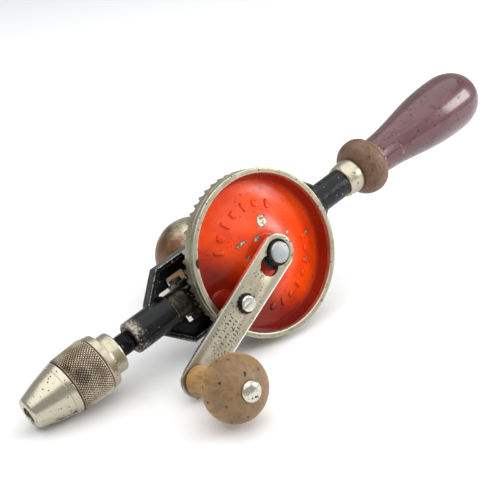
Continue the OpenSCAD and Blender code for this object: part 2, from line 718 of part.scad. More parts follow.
// A jaw: a rod cut to a three-sided point, with a hollow face that grips the drill bit
module jaw(i) laid() color("#77797b") at_jaw(i) difference() {
    intersection() {
        jaw_rod(jaw_r, -2 * jaw_len, 12);
        translate([-30, -30, jaw_back]) cube([60, 60, jaw_len]);
        translate([jaw_close * sin(jaw_angle) + 0.15, 0, 0])
            linear_extrude(2 * nose_reach) polygon([[0, 0], [15, -15 * tan(60)], [15, 15 * tan(60)]]);
    }
    cylinder(r = grip_r, h = 2 * nose_reach);
}

module thrust_balls() laid() color("#a9abad") ahead(ball_plane)
    for (i = [0 : ball_count - 1]) rotate(i * 360 / ball_count) translate([ball_circle_r, 0, 0])
        sphere(d = ball_d, $fn = 24);

module ball_cage() laid() color("#a98a4a") difference() {
    ahead(ball_plane - 0.5) ring(race_r - 0.2, spindle_d / 2 + 0.15, 1);
    ahead(ball_plane - 1) for (i = [0 : ball_count - 1])
        rotate(i * 360 / ball_count) translate([ball_circle_r, 0, 0]) cylinder(d = ball_d + 0.1, h = 2);
}

frame_casting();
front_bush();
rear_bush();
thrust_race();
front_washer();
axle_stud();
axle_washer();
side_knob();
side_knob_stud();
side_knob_washer();
main_handle();
handle_ferrule();
drive_wheel();
hub_bush();
crank_arm();
arm_screw();
lock_washer();
knob_rivet();
knob_washer();
crank_knob();
spindle();
pinion();
pinion_pin();
chuck_body();
chuck_collar();
thrust_balls();
ball_cage();
chuck_sleeve();
jaw_nut();
jaw(0);  // jaw_1
jaw(1);  // jaw_2
jaw(2);  // jaw_3
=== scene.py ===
"""Looks of a hand-cranked drill on a pale bench: wheel, crank, chuck, handles and their finishes."""

import json
import logging
import math
from collections.abc import Callable, Sequence
from dataclasses import dataclass
from enum import Enum
from functools import reduce

import bmesh
import bpy
from mathutils import Matrix, Vector


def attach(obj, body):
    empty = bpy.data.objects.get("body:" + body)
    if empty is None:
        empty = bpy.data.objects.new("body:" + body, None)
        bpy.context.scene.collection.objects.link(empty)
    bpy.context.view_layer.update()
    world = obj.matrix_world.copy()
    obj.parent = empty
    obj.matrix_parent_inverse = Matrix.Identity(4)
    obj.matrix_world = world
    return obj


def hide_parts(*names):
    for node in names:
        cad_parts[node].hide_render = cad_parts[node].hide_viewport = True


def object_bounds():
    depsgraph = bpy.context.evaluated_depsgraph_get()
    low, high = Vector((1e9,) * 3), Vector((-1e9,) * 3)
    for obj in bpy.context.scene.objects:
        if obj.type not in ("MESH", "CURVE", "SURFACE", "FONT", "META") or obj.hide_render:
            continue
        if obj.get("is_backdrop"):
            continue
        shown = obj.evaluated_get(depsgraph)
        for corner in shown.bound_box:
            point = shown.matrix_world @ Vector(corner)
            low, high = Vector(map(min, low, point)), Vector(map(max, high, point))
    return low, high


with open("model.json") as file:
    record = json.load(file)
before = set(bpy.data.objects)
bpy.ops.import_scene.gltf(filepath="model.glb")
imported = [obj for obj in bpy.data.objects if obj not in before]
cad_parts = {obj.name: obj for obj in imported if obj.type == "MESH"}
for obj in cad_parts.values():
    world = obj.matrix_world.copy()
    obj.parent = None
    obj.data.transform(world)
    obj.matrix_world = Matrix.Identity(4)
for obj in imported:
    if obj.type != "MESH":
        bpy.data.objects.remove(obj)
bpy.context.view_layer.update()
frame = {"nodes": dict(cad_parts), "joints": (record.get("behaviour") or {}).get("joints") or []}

LOG = logging.getLogger("hand_drill")
Point = tuple[float, float]
Triple = tuple[float, float, float]

# Blender's metres in a millimetre
MM = 0.001

# A radius below this is a point on the axis
ON_AXIS = 1e-6

# Sizes of pieces that their finishes follow, in millimetres and degrees
RIM_RADIUS = 44.0
RIM_FRONT = 20.8
CRANK_DEGREES = 200.5
CRANK_REACH = 77.0
BEAD_END = 102.0
SLEEVE_BACK = 101.3
SLEEVE_FRONT = 119.1
SLEEVE_REAR_RADIUS = 15.0
SLEEVE_FRONT_RADIUS = 14.4
KNURL_HEIGHT = 0.45


def linear(code: str) -> tuple[float, float, float, float]:
    """Turns a web colour such as "#c0a080" into the linear values that a shader takes.

    Args:
        code: Six hexadecimal digits after a hash sign.

    Returns:
        Red, green, blue and an alpha of 1.
    """
    # The standard curve of web colours: straight near black, a power above it
    parts = [int(code[i : i + 2], 16) / 255 for i in (1, 3, 5)]
    return (*(c / 12.92 if c <= 0.04045 else ((c + 0.055) / 1.055) ** 2.4 for c in parts), 1.0)


class Lie(Enum):
    """The way a turned piece's own +Z runs in the tool."""

    AHEAD = ((0, 0, -1), (0, 1, 0), (1, 0, 0))
    BEHIND = ((0, 0, 1), (0, 1, 0), (-1, 0, 0))
    OUTBOARD = ((1, 0, 0), (0, 0, -1), (0, 1, 0))
    INBOARD = ((1, 0, 0), (0, 0, 1), (0, -1, 0))

    def matrix(self) -> Matrix:
        """Gives the turn from the piece's own axes to the tool's."""
        return Matrix(self.value).to_4x4()


@dataclass(frozen=True)
class ToolSpace:
    """The drill's own axes in millimetres: X behind the axle, Y to the side knob, Z up the tool."""

    to_world: Matrix

    @classmethod
    def from_joints(cls, joints: Sequence[dict]) -> "ToolSpace":
        """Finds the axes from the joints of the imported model.

        Args:
            joints: The joints as the frame gives them.

        Returns:
            The tool's space, with its origin where the wheel's axle crosses the spindle.
        """
        by_name = {joint["name"]: joint for joint in joints}
        y = Vector(by_name["wheel_spin"]["axis"]).normalized()
        x = -Vector(by_name["spindle_spin"]["axis"]).normalized()
        z = x.cross(y).normalized()
        turn = Matrix((x, z.cross(x), z)).transposed().to_4x4()
        place = Matrix.Translation(by_name["wheel_spin"]["pos_m"])
        return cls(place @ turn @ Matrix.Scale(MM, 4))

    def point(self, x: float, y: float, z: float) -> Vector:
        """Gives the world place of a point of the tool."""
        return self.to_world @ Vector((x, y, z))

    def heading(self, x: float, y: float, z: float) -> Vector:
        """Gives the world direction of a direction of the tool."""
        return (self.to_world.to_3x3() @ Vector((x, y, z))).normalized()


TOOL = ToolSpace.from_joints(frame["joints"])


class Value:
    """A number that varies in a node tree, on which plain arithmetic adds Math nodes."""

    def __init__(self, tree: "Tree", socket: bpy.types.NodeSocket) -> None:
        """Wraps a socket of a tree."""
        self.tree = tree
        self.socket = socket

    def _math(self, operation: str, *operands: "Value | float") -> "Value":
        """Adds one Math node.

        Args:
            operation: The node's operation.
            operands: Its inputs, in order.

        Returns:
            The node's result.
        """
        node = self.tree.add("ShaderNodeMath", {"operation": operation}, dict(enumerate(operands)))
        return Value(self.tree, node.outputs[0])

    def __add__(self, other: "Value | float") -> "Value":
        """Adds."""
        return self._math("ADD", self, other)

    __radd__ = __add__

    def __sub__(self, other: "Value | float") -> "Value":
        """Subtracts."""
        return self._math("SUBTRACT", self, other)

    def __rsub__(self, other: "Value | float") -> "Value":
        """Subtracts this from a number."""
        return self._math("SUBTRACT", other, self)

    def __mul__(self, other: "Value | float") -> "Value":
        """Multiplies."""
        return self._math("MULTIPLY", self, other)

    __rmul__ = __mul__

    def __truediv__(self, other: "Value | float") -> "Value":
        """Divides."""
        return self._math("DIVIDE", self, other)

    def __mod__(self, other: "Value | float") -> "Value":
        """Takes what is left after dividing."""
        return self._math("MODULO", self, other)

    def __abs__(self) -> "Value":
        """Drops the sign."""
        return self._math("ABSOLUTE", self)

    def root(self) -> "Value":
        """Takes the square root."""
        return self._math("SQRT", self)

    def larger(self, other: "Value | float") -> "Value":
        """Takes the larger of two."""
        return self._math("MAXIMUM", self, other)

    def floor(self) -> "Value":
        """Rounds down to a whole number."""
        return self._math("FLOOR", self)

    def wave(self) -> "Value":
        """Takes the sine."""
        return self._math("SINE", self)

    def cosine(self) -> "Value":
        """Takes the cosine."""
        return self._math("COSINE", self)

    def rise(self, start: float, end: float) -> "Value":
        """Makes a soft step.

        Args:
            start: Where the step begins, at 0.
            end: Where it ends, at 1; below start, the step falls instead.

        Returns:
            A mask from 0 to 1.
        """
        low, high, first, last = (start, end, 0.0, 1.0) if start < end else (end, start, 1.0, 0.0)
        node = self.tree.add(
            "ShaderNodeMapRange",
            {"interpolation_type": "SMOOTHSTEP"},
            {"Value": self, "From Min": low, "From Max": high, "To Min": first, "To Max": last},
        )
        return Value(self.tree, node.outputs["Result"])


class Tree:
    """A node tree that is built from Python."""

    def __init__(self, tree: bpy.types.NodeTree) -> None:
        """Wraps a tree and empties it."""
        self.tree = tree
        tree.nodes.clear()

    def add(self, kind: str, settings: dict | None = None, inputs: dict | None = None) -> bpy.types.Node:
        """Adds any node.

        Args:
            kind: The node's type.
            settings: Its settings, which are set first.
            inputs: What goes into its sockets, by name or number: a value, a socket or a Value.

        Returns:
            The new node.
        """
        node = self.tree.nodes.new(kind)
        for name, value in (settings or {}).items():
            setattr(node, name, value)
        for key, value in (inputs or {}).items():
            source = value.socket if isinstance(value, Value) else value
            if isinstance(source, bpy.types.NodeSocket):
                self.tree.links.new(source, node.inputs[key])
            else:
                node.inputs[key].default_value = source
        return node


class Surface(Tree):
    """The shader tree of one material, whose patterns lie in the tool's millimetres."""

    SEED_STRIDE: Triple = (37.0, 17.0, 53.0)

    def __init__(self, material: bpy.types.Material) -> None:
        """Starts the tree with the tool's coordinates.

        Args:
            material: The material that the tree belongs to.
        """
        material.use_nodes = True
        super().__init__(material.node_tree)
        place, turn, size = TOOL.to_world.decompose()
        source = self.add("ShaderNodeTexCoord").outputs["Object"]
        mapping = self.add(
            "ShaderNodeMapping",
            {"vector_type": "TEXTURE"},
            {"Vector": source, "Location": place, "Rotation": turn.to_euler(), "Scale": size},
        )
        self.place = mapping.outputs[0]
        parts = self.add("ShaderNodeSeparateXYZ", None, {0: self.place})
        self.x, self.y, self.z = (Value(self, socket) for socket in parts.outputs)

    def about_spindle(self) -> Value:
        """Gives the distance from the spindle's axis."""
        return (self.y * self.y + self.z * self.z).root()

    def about_axle(self) -> Value:
        """Gives the distance from the wheel's axis."""
        return (self.x * self.x + self.z * self.z).root()

    def along(self, degrees: float) -> tuple[Value, Value]:
        """Gives places along and across a direction in the wheel's plane.

        Args:
            degrees: The direction, counted from the handle towards the tool's top.

        Returns:
            The distance along the direction, and across it.
        """
        c, s = math.cos(math.radians(degrees)), math.sin(math.radians(degrees))
        return self.x * c + self.z * s, self.z * c - self.x * s

    def stretched(self, scale: Triple) -> bpy.types.NodeSocket:
        """Gives the coordinates scaled along the tool's axes; below 1, a pattern grows longer."""
        return self.add("ShaderNodeMapping", None, {"Vector": self.place, "Scale": scale}).outputs[0]

    def noise(
        self,
        size: float,
        seed: float = 0.0,
        detail: float = 4.0,
        rough: float = 0.55,
        over: bpy.types.NodeSocket | None = None,
        warp: float = 0.0,
    ) -> Value:
        """Adds a cloud of noise.

        Args:
            size: The size of its largest lumps, in millimetres.
            seed: A number that gives another cloud.
            detail: How many finer layers it has.
            rough: How strong the finer layers are.
            over: Coordinates other than the tool's.
            warp: How far it is bent by itself.

        Returns:
            The cloud, about 0.5 in the middle.
        """
        node = self.add(
            "ShaderNodeTexNoise",
            {"noise_dimensions": "4D"},
            {
                "Vector": over or self.place,
                "W": seed,
                "Scale": 1 / size,
                "Detail": detail,
                "Roughness": rough,
                "Distortion": warp,
            },
        )
        return Value(self, node.outputs["Fac"])

    def spots(
        self, spacing: float, radius: float, share: float, seed: float = 0.0, ragged: float = 0.25
    ) -> Value:
        """Scatters ragged spots.

        Args:
            spacing: The distance between their possible places, in millimetres.
            radius: Their radius in millimetres.
            share: How many of the places have a spot, from 0 to 1.
            seed: A number that gives other places.
            ragged: How far noise eats into their edges, as a share of the radius.

        Returns:
            A mask that is 1 in the spots.
        """
        offset = tuple(seed * stride for stride in self.SEED_STRIDE)
        moved = self.add("ShaderNodeMapping", None, {"Vector": self.place, "Location": offset})
        cells = self.add(
            "ShaderNodeTexVoronoi",
            {"voronoi_dimensions": "3D"},
            {"Vector": moved.outputs[0], "Scale": 1 / spacing, "Randomness": 1.0},
        )
        draw = self.add("ShaderNodeSeparateColor", None, {0: cells.outputs["Color"]})
        lot = Value(self, draw.outputs[0])
        edge = self.noise(radius * 0.9, seed + 3.3, 3.0) - 0.5
        reach = Value(self, cells.outputs["Distance"]) * spacing + edge * (radius * ragged * 4)
        return reach.rise(radius * 1.15, radius * 0.75) * lot.rise(share, share * 0.9)

    def patch(
        self, at: Triple, radii: Triple, degrees: float = 0.0, ragged: float = 1.0, seed: float = 0.0
    ) -> Value:
        """Marks one ragged patch at a given place, such as a paint chip.

        Args:
            at: Its centre in the tool, in millimetres.
            radii: Its half sizes in millimetres.
            degrees: How far it is turned in the wheel's plane.
            ragged: How far noise moves its edge, in millimetres.
            seed: A number that gives another edge.

        Returns:
            A mask that is 1 in the patch.
        """
        c, s = math.cos(math.radians(degrees)), math.sin(math.radians(degrees))
        dx, dy, dz = self.x - at[0], self.y - at[1], self.z - at[2]
        u, v, w = (dx * c + dz * s) / radii[0], dy / radii[1], (dz * c - dx * s) / radii[2]
        small = min(radii)
        edge = (self.noise(max(0.5, small * 0.6), seed, 5.0, 0.65) - 0.5) * (ragged * 3 / small)
        return ((u * u + v * v + w * w).root() + edge).rise(1.08, 0.94)

    def blend(self, mask: "Value | float", under: object, over: object) -> bpy.types.NodeSocket:
        """Lays one colour over another.

        Args:
            mask: Where the upper colour shows.
            under: The lower colour, as a web colour or a socket.
            over: The upper colour, as a web colour or a socket.

        Returns:
            The blended colour.
        """
        colours = [linear(c) if isinstance(c, str) else c for c in (under, over)]
        node = self.add("ShaderNodeMix", {"data_type": "RGBA"}, {0: mask, 6: colours[0], 7: colours[1]})
        return node.outputs[2]

    def dents(self, height: Value) -> bpy.types.NodeSocket:
        """Turns a height in millimetres into a bumped normal."""
        return self.add("ShaderNodeBump", None, {"Distance": MM, "Height": height}).outputs[0]

    def close(self, varying: dict, even: dict | None = None) -> None:
        """Ends the tree in a Principled shader.

        Args:
            varying: What changes over the surface, by socket name.
            even: Numbers that are the same all over.
        """
        shader = self.add("ShaderNodeBsdfPrincipled", None, {**(even or {}), **varying})
        self.add("ShaderNodeOutputMaterial", None, {0: shader.outputs[0]})


@dataclass(frozen=True)
class Finish:
    """A finish that makes one material."""

    name: str
    slot: str
    seed: float = 0.0

    def material(self) -> bpy.types.Material:
        """Makes the material, or finds it if it was made before.

        Returns:
            The one material of this finish.
        """
        found = bpy.data.materials.get(self.name)
        if found is None:
            found = bpy.data.materials.new(self.name)
            self.dress(Surface(found))
        return found

    def dress(self, s: Surface) -> None:
        """Builds the shader tree on a surface; each finish has its own way."""
        raise NotImplementedError


@dataclass(frozen=True)
class Plate(Finish):
    """Plated or bare metal with stains, pits and rubbed patches."""

    metal: str = "#b9b19c"
    stain: str = "#81765c"
    pit: str = "#17120e"
    roughness: float = 0.3
    stained: float = 0.5
    pit_radius: float = 0.4
    pit_spacing: float = 1.6
    pit_share: float = 0.5
    grain: float = 0.012
    cloud_size: float = 9.0
    grain_size: float = 0.8
    extra: Callable[[Surface], Value] | None = None

    def lay(
        self,
        s: Surface,
        plate: bpy.types.NodeSocket,
        pits: Value,
        height: Value,
        rough: Value,
        metallic: Value,
    ) -> None:
        """Lays the pits over the plate and ends the tree.

        Args:
            s: The material's surface.
            plate: The plate's colour.
            pits: Where the pits and dark marks are.
            height: The surface's height in millimetres.
            rough: The roughness.
            metallic: How far the surface is bare metal.
        """
        colour = s.blend(pits, plate, self.pit)
        s.close({"Base Color": colour, "Roughness": rough, "Metallic": metallic, "Normal": s.dents(height)})

    def dress(self, s: Surface) -> None:
        """Builds bright metal under stains, pits and the piece's own dark marks.

        Args:
            s: The material's surface.
        """
        cloud = s.noise(self.cloud_size, self.seed, 5.0, 0.6)
        fine = s.noise(self.grain_size, self.seed + 1, 6.0, 0.65)
        spread = 0.22 * self.stained
        stains = (cloud * 0.65 + fine * 0.35).rise(0.62 - spread, 0.78 - spread)
        crowd = s.noise(6.0, self.seed + 2, 3.0).rise(0.42, 0.62)
        small = s.spots(self.pit_spacing, self.pit_radius, self.pit_share, self.seed + 4)
        large = s.spots(self.pit_spacing * 2.9, self.pit_radius * 1.9, self.pit_share * 0.5, self.seed + 7)
        pits = (small * (crowd * 0.8 + 0.2)).larger(large * crowd)
        if self.extra:
            pits = pits.larger(self.extra(s))
        plate = s.blend(stains * 0.75, self.metal, self.stain)
        height = fine * self.grain - pits * 0.09 - stains * 0.004
        rough = fine * 0.16 + stains * 0.14 + pits * 0.35 + (self.roughness - 0.08)
        self.lay(s, plate, pits, height, rough, 1 - pits * 0.75)


@dataclass(frozen=True)
class RimPlate(Plate):
    """The wheel's nickel rim, bright on its front edge and dull on its flank."""

    polished: str = "#cac4b4"
    cloud_size: float = 7.0
    grain_size: float = 0.7
    front: float = RIM_FRONT
    edge: float = RIM_RADIUS
    chip: Triple = (-38.0, -20.5, 17.0)
    chip_size: Triple = (1.5, 1.8, 2.4)

    def dress(self, s: Surface) -> None:
        """Builds the dull flank, the bright edge and one dark chip on it.

        Args:
            s: The material's surface.
        """
        cloud = s.noise(self.cloud_size, self.seed, 6.0, 0.62)
        fine = s.noise(self.grain_size, self.seed + 1, 6.0, 0.65)
        inward = s.about_axle() - self.edge
        corners = inward.rise(-2.1, -2.6).larger(inward.rise(-0.7, -0.2))
        face = (0 - s.y).rise(self.front - 1.2, self.front - 0.3)
        bright = corners * face * cloud.rise(0.3, 0.5)
        stains = (cloud * 0.6 + fine * 0.4).rise(0.4, 0.66) * (1 - bright * 0.85)
        crowd = s.noise(5.0, self.seed + 2, 3.0).rise(0.38, 0.58)
        pits = s.spots(1.8, 0.42, 0.5, self.seed + 4, 0.5) * crowd
        pits = pits.larger(s.patch(self.chip, self.chip_size, -24, 0.5, 3))
        plate = s.blend(stains * 0.8, s.blend(bright, self.metal, self.polished), self.stain)
        height = fine * 0.014 - pits * 0.1
        rough = fine * 0.14 + stains * 0.14 + pits * 0.3 + 0.34
        self.lay(s, plate, pits, height, rough, 0.95 - pits * 0.7)


@dataclass(frozen=True)
class ArmPlate(Plate):
    """The crank arm's nickel, with bright edges and rows of punched ticks."""

    polished: str = "#f0ede6"
    cloud_size: float = 7.0
    grain_size: float = 0.7
    degrees: float = CRANK_DEGREES
    reach: float = CRANK_REACH
    half_near: float = 9.5
    half_far: float = 8.3
    ticks_from: float = 41.0
    ticks_to: float = 60.0
    ticks_across: float = 6.6
    tick_pitch: float = 3.3
    row_pitch: float = 2.05

    def ticks(self, s: Surface, u: Value, v: Value) -> Value:
        """Marks the rows of worn ticks.

        Args:
            s: The material's surface.
            u: The distance along the arm.
            v: The distance across it.

        Returns:
            A mask that is 1 in the ticks.
        """
        stroke = (u * self.tick_pitch).wave().rise(0.0, 0.6)
        row = (v * self.row_pitch + 0.6).wave().rise(-0.45, 0.1)
        worn = s.noise(1.6, self.seed + 9, 3.0).rise(0.4, 0.52)
        begun = u.rise(self.ticks_from - 0.6, self.ticks_from + 0.6)
        unended = u.rise(self.ticks_to + 0.6, self.ticks_to - 0.6)
        return stroke * row * worn * begun * unended * abs(v).rise(self.ticks_across, self.ticks_across - 0.6)

    def dress(self, s: Surface) -> None:
        """Builds the plate, its bright edges, its pits and the worn ticks.

        Args:
            s: The material's surface.
        """
        u, v = s.along(self.degrees)
        fine = s.noise(self.grain_size, self.seed + 1, 6.0, 0.65)
        cloud = s.noise(self.cloud_size, self.seed, 5.0, 0.6)
        half = u * ((self.half_far - self.half_near) / self.reach) + self.half_near
        edge = (half - abs(v) + (fine - 0.5) * 0.5).rise(0.85, 0.35)
        stains = (cloud * 0.6 + fine * 0.4).rise(0.46, 0.66) * (1 - edge)
        crowd = s.noise(5.0, self.seed + 2, 3.0).rise(0.4, 0.6)
        pits = s.spots(1.6, 0.42, 0.55, self.seed + 4, 0.45) * (crowd * 0.7 + 0.3)
        pits = pits.larger(s.spots(3.3, 0.8, 0.42, self.seed + 8, 0.5) * crowd)
        pits = (pits * (1 - edge * 0.7)).larger(self.ticks(s, u, v) * 0.85)
        plate = s.blend(edge, s.blend(stains * 0.7, self.metal, self.stain), self.polished)
        height = fine * 0.016 - pits * 0.1
        rough = fine * 0.16 + stains * 0.16 + pits * 0.3 + 0.27 - edge * 0.08
        self.lay(s, plate, pits, height, rough, 1 - pits * 0.75)


@dataclass(frozen=True)
class DishEnamel(Finish):
    """Orange-red enamel of the wheel's dish, with painted shade on its lower left, at its wall and round its
    hub, with specks and chips to bare metal.

    A chip has a place, half sizes, a turn in degrees and a raggedness, in the tool's millimetres.
    """

    bright: str = "#f04c06"
    deep: str = "#dc3504"
    # sunk is the colour of the painted shade on the dish's lower left
    sunk: str = "#6a0804"
    # The colour of the painted shade on the dish's wall
    wall_shade: str = "#6e0a05"
    # hub is the colour of the painted shade round the hub
    hub: str = "#8a1206"
    stain: str = "#8c1804"
    speck: str = "#3c0a05"
    undercoat: str = "#5a1a0a"
    rusty: str = "#6b5836"
    metal: str = "#c9c2b2"
    # Colour of grease together with painted shade on the hub face under the arm
    grease_and_shade: str = "#0d0806"
    undercoat_width: float = 0.32
    chips: tuple[tuple[Triple, Triple, float, float], ...] = (
        ((6.5, -19.3, 15.4), (3.7, 4.0, 2.5), 40.0, 1.0),
        ((-10.8, -19.2, 11.6), (3.6, 4.0, 0.75), 2.0, 0.35),
        ((-1.8, -20.5, 9.6), (2.0, 4.0, 0.8), 20.0, 0.4),
        ((-11.6, -20.2, 4.3), (1.1, 4.0, 0.9), 0.0, 0.25),
        ((17.5, -18.4, 2.2), (1.2, 4.0, 0.8), 60.0, 0.5),
        ((32.2, -12.2, -6.4), (0.9, 3.0, 1.0), 0.0, 0.2),
        ((24.8, -13.0, -18.2), (1.0, 3.0, 0.8), 0.0, 0.4),
        ((19.0, -11.9, 28.0), (0.6, 3.0, 0.5), 0.0, 0.2),
    )

    def chipped(self, s: Surface) -> tuple[Value, Value]:
        """Marks the chips.

        Args:
            s: The material's surface.

        Returns:
            A mask of the undercoat round the chips, and one of the bare metal in them.
        """
        rings, bares = [], []
        for number, (at, radii, degrees, ragged) in enumerate(self.chips):
            wide = tuple(radius + self.undercoat_width for radius in radii)
            rings.append(s.patch(at, wide, degrees, ragged, number))
            bares.append(s.patch(at, radii, degrees, ragged, number))
        return reduce(Value.larger, rings), reduce(Value.larger, bares)

    def dress(self, s: Surface) -> None:
        """Builds the enamel coats, the painted shade on the lower left, at the wall and round the hub, the
        grease and painted shade by the axle, the specks and the chips.

        Args:
            s: The material's surface.
        """
        r = s.about_axle()
        cloud = s.noise(16.0, self.seed, 5.0, 0.6)
        fine = s.noise(1.2, self.seed + 1, 6.0, 0.7)
        # Painted shade: the dish darkens towards its lower left, which faces away from the light
        low_side, _ = s.along(215.0)
        shadow = (low_side + (cloud - 0.5) * 14).rise(4.0, 25.0)
        stains = (cloud * 0.4 + fine * 0.6).rise(0.55, 0.75)
        specks = s.spots(1.9, 0.3, 0.42, 3, 0.5).larger(s.spots(4.3, 0.5, 0.4, 8, 0.6))
        ring, bare = self.chipped(s)
        colour = s.blend(cloud.rise(0.35, 0.7), self.bright, self.deep)
        # Painted shade on the lower left, in the sunk colour
        colour = s.blend(shadow * 0.85, colour, self.sunk)
        # Painted shade on the dish's wall, in the corner by the rim
        colour = s.blend(r.rise(37.0, 39.4) * 0.85, colour, self.wall_shade)
        # Painted shade round the hub, where the dish meets the hub boss under the arm's keyhole
        colour = s.blend(r.rise(13.5, 9.5) * 0.5, colour, self.hub)
        colour = s.blend(stains * 0.5, colour, self.stain)
        colour = s.blend(specks * 0.8, colour, self.speck)
        colour = s.blend(ring * 0.8, colour, self.undercoat)
        colour = s.blend(bare, colour, s.blend(fine.rise(0.42, 0.6), self.rusty, self.metal))
        # Black on the hub face inside the hub radius: grease, and painted shade in the gap under the arm
        colour = s.blend(r.rise(9.3, 8.7), colour, self.grease_and_shade)
        height = fine * 0.02 + cloud * 0.05 - bare * 0.1 - specks * 0.05
        rough = fine * 0.16 + 0.2 + bare * 0.15
        s.close(
            {
                "Base Color": colour,
                "Roughness": rough,
                "Metallic": bare * 0.7,
                "Coat Weight": 0.2 - bare * 0.2,
                "Normal": s.dents(height),
            },
            {"Coat Roughness": 0.2, "Specular IOR Level": 0.25},
        )


@dataclass(frozen=True)
class BlackEnamel(Finish):
    """Glossy black enamel on cast iron, rubbed to bare metal along its edges."""

    coat: str = "#06080a"
    bare: str = "#b9b3a4"
    brushed: str = "#1b2127"
    rusty: str = "#6d6452"
    nose_back: float = 73.0
    nose_front: float = 78.6

    def dress(self, s: Surface) -> None:
        """Builds the enamel, its runs, the rubbed edges and the chips.

        Args:
            s: The material's surface.
        """
        fine = s.noise(1.1, self.seed, 6.0, 0.65)
        cloud = s.noise(11.0, self.seed + 1, 4.0, 0.55)
        lumps = s.noise(3.4, self.seed + 2, 3.0, 0.5)
        keen = Value(s, s.add("ShaderNodeNewGeometry").outputs["Pointiness"])
        edges = (keen + (fine - 0.5) * 0.075 + (cloud - 0.5) * 0.05).rise(0.522, 0.545)
        chips = s.spots(4.4, 0.62, 0.45, 11, 0.7) * cloud.rise(0.44, 0.56)
        chips = chips.larger(s.spots(2.9, 0.4, 0.45, 19, 0.8) * lumps.rise(0.46, 0.56))
        mottle = fine * 0.5 + cloud * 0.5
        nose = s.x.rise(-self.nose_back, -self.nose_front) * mottle.rise(0.45, 0.56)
        bare = edges.larger(chips).larger(nose * s.about_spindle().rise(6.8, 7.6))
        dust = mottle.rise(0.5, 0.7)
        colour = s.blend(dust * 0.4, self.coat, self.brushed)
        metal = s.blend(fine.rise(0.4, 0.62), self.rusty, self.bare)
        colour = s.blend(bare, colour, metal)
        height = fine * 0.06 + lumps * 0.5 - bare * 0.09
        rough = fine * 0.2 + dust * 0.16 + 0.24 + bare * 0.08
        s.close(
            {
                "Base Color": colour,
                "Roughness": rough,
                "Metallic": bare * 0.9,
                "Coat Weight": 0.16 - bare * 0.16,
                "Normal": s.dents(height),
            },
            {"Coat Roughness": 0.1, "Specular IOR Level": 0.2},
        )


@dataclass(frozen=True)
class MaroonPaint(Finish):
    """Maroon paint on turned wood, cracked, pitted and worn to wood at its neck."""

    light: str = "#63383f"
    dark: str = "#532b32"
    streak: str = "#47242a"
    rubbed: str = "#96685f"
    wood: str = "#9a7f66"
    crack: str = "#21110f"
    neck: float = BEAD_END + 1.5
    grain_stretch: Triple = (0.16, 1.0, 1.0)
    crack_stretch: Triple = (0.2, 1.0, 1.0)

    def dress(self, s: Surface) -> None:
        """Builds the paint, its long cracks and pits, and the bare wood by the bead.

        Args:
            s: The material's surface.
        """
        grain = s.noise(1.5, 2, 5.0, 0.6, s.stretched(self.grain_stretch))
        fine = s.noise(0.9, 3, 6.0, 0.65)
        cloud = s.noise(14.0, 4, 4.0)
        veins = s.noise(4.6, 6, 4.0, 0.5, s.stretched(self.crack_stretch), 0.6)
        cracks = abs(veins - 0.5).rise(0.02, 0.006) * s.noise(11.0, 7, 2.0).rise(0.5, 0.62)
        pits = s.spots(3.0, 0.7, 0.55, 5, 0.9) * s.noise(9.0, 8, 3.0).rise(0.36, 0.52)
        pits = pits.larger(s.spots(1.8, 0.26, 0.4, 9, 0.6))
        colour = s.blend(cloud.rise(0.3, 0.7), self.dark, self.light)
        colour = s.blend(grain.rise(0.5, 0.72) * 0.5, colour, self.streak)
        worn = (s.x + (fine - 0.5) * 5 + (grain - 0.5) * 6).rise(self.neck + 2.4, self.neck + 1.2)
        rubbed = s.noise(5.0, 12, 4.0).rise(0.64, 0.68) * s.x.rise(150, 118)
        colour = s.blend(rubbed * 0.6, colour, self.rubbed)
        colour = s.blend(worn, colour, self.wood)
        colour = s.blend(cracks.larger(pits) * 0.9, colour, self.crack)
        height = fine * 0.02 + grain * 0.03 - pits * 0.16 - cracks * 0.12 - worn * 0.1
        rough = fine * 0.14 + 0.27 + worn * 0.25 + pits * 0.3
        s.close(
            {
                "Base Color": colour,
                "Roughness": rough,
                "Coat Weight": 0.55 - worn * 0.55,
                "Normal": s.dents(height),
            },
            {"Coat Roughness": 0.14, "Specular IOR Level": 0.35},
        )


@dataclass(frozen=True)
class BareWood(Finish):
    """Bare turned wood, darkened by hands, with pores, cracks and dents."""

    light: str = "#b7946a"
    dark: str = "#7d5c3d"
    stretch: Triple = (1.0, 0.16, 1.0)
    shade: Callable[[Surface], Value] | None = None
    tint: str = "#5b4632"
    pore: str = "#2a1c12"
    ring_waves: float = 22.0

    def dress(self, s: Surface) -> None:
        """Builds the growth rings, the pores along the grain, the handled patches and the dents.

        Args:
            s: The material's surface.
        """
        over = s.stretched(self.stretch)
        fine = s.noise(0.8, self.seed, 6.0, 0.65)
        fibre = s.noise(0.75, self.seed + 1, 5.0, 0.6, over)
        growth = s.noise(3.6, self.seed + 2, 3.0, 0.5, over, 0.4)
        rings = (growth * self.ring_waves).wave() * 0.5 + 0.5
        pores = s.noise(0.42, self.seed + 3, 2.0, 0.5, over).rise(0.63, 0.72)
        cloud = s.noise(9.0, self.seed + 4, 5.0)
        dents = s.spots(3.6, 0.7, 0.36, self.seed + 5, 0.7) * cloud.rise(0.4, 0.52)
        colour = s.blend(rings * 0.5 + fibre * 0.45, self.light, self.dark)
        colour = s.blend(cloud.rise(0.45, 0.75) * 0.55, colour, self.tint)
        if self.shade:
            colour = s.blend(self.shade(s), colour, self.tint)
        colour = s.blend((pores * 0.6).larger(dents), colour, self.pore)
        height = fibre * 0.05 + fine * 0.02 - pores * 0.05 - dents * 0.2
        rough = fine * 0.16 + 0.42 + pores * 0.2
        s.close(
            {"Base Color": colour, "Roughness": rough, "Normal": s.dents(height)},
            {"Specular IOR Level": 0.4},
        )


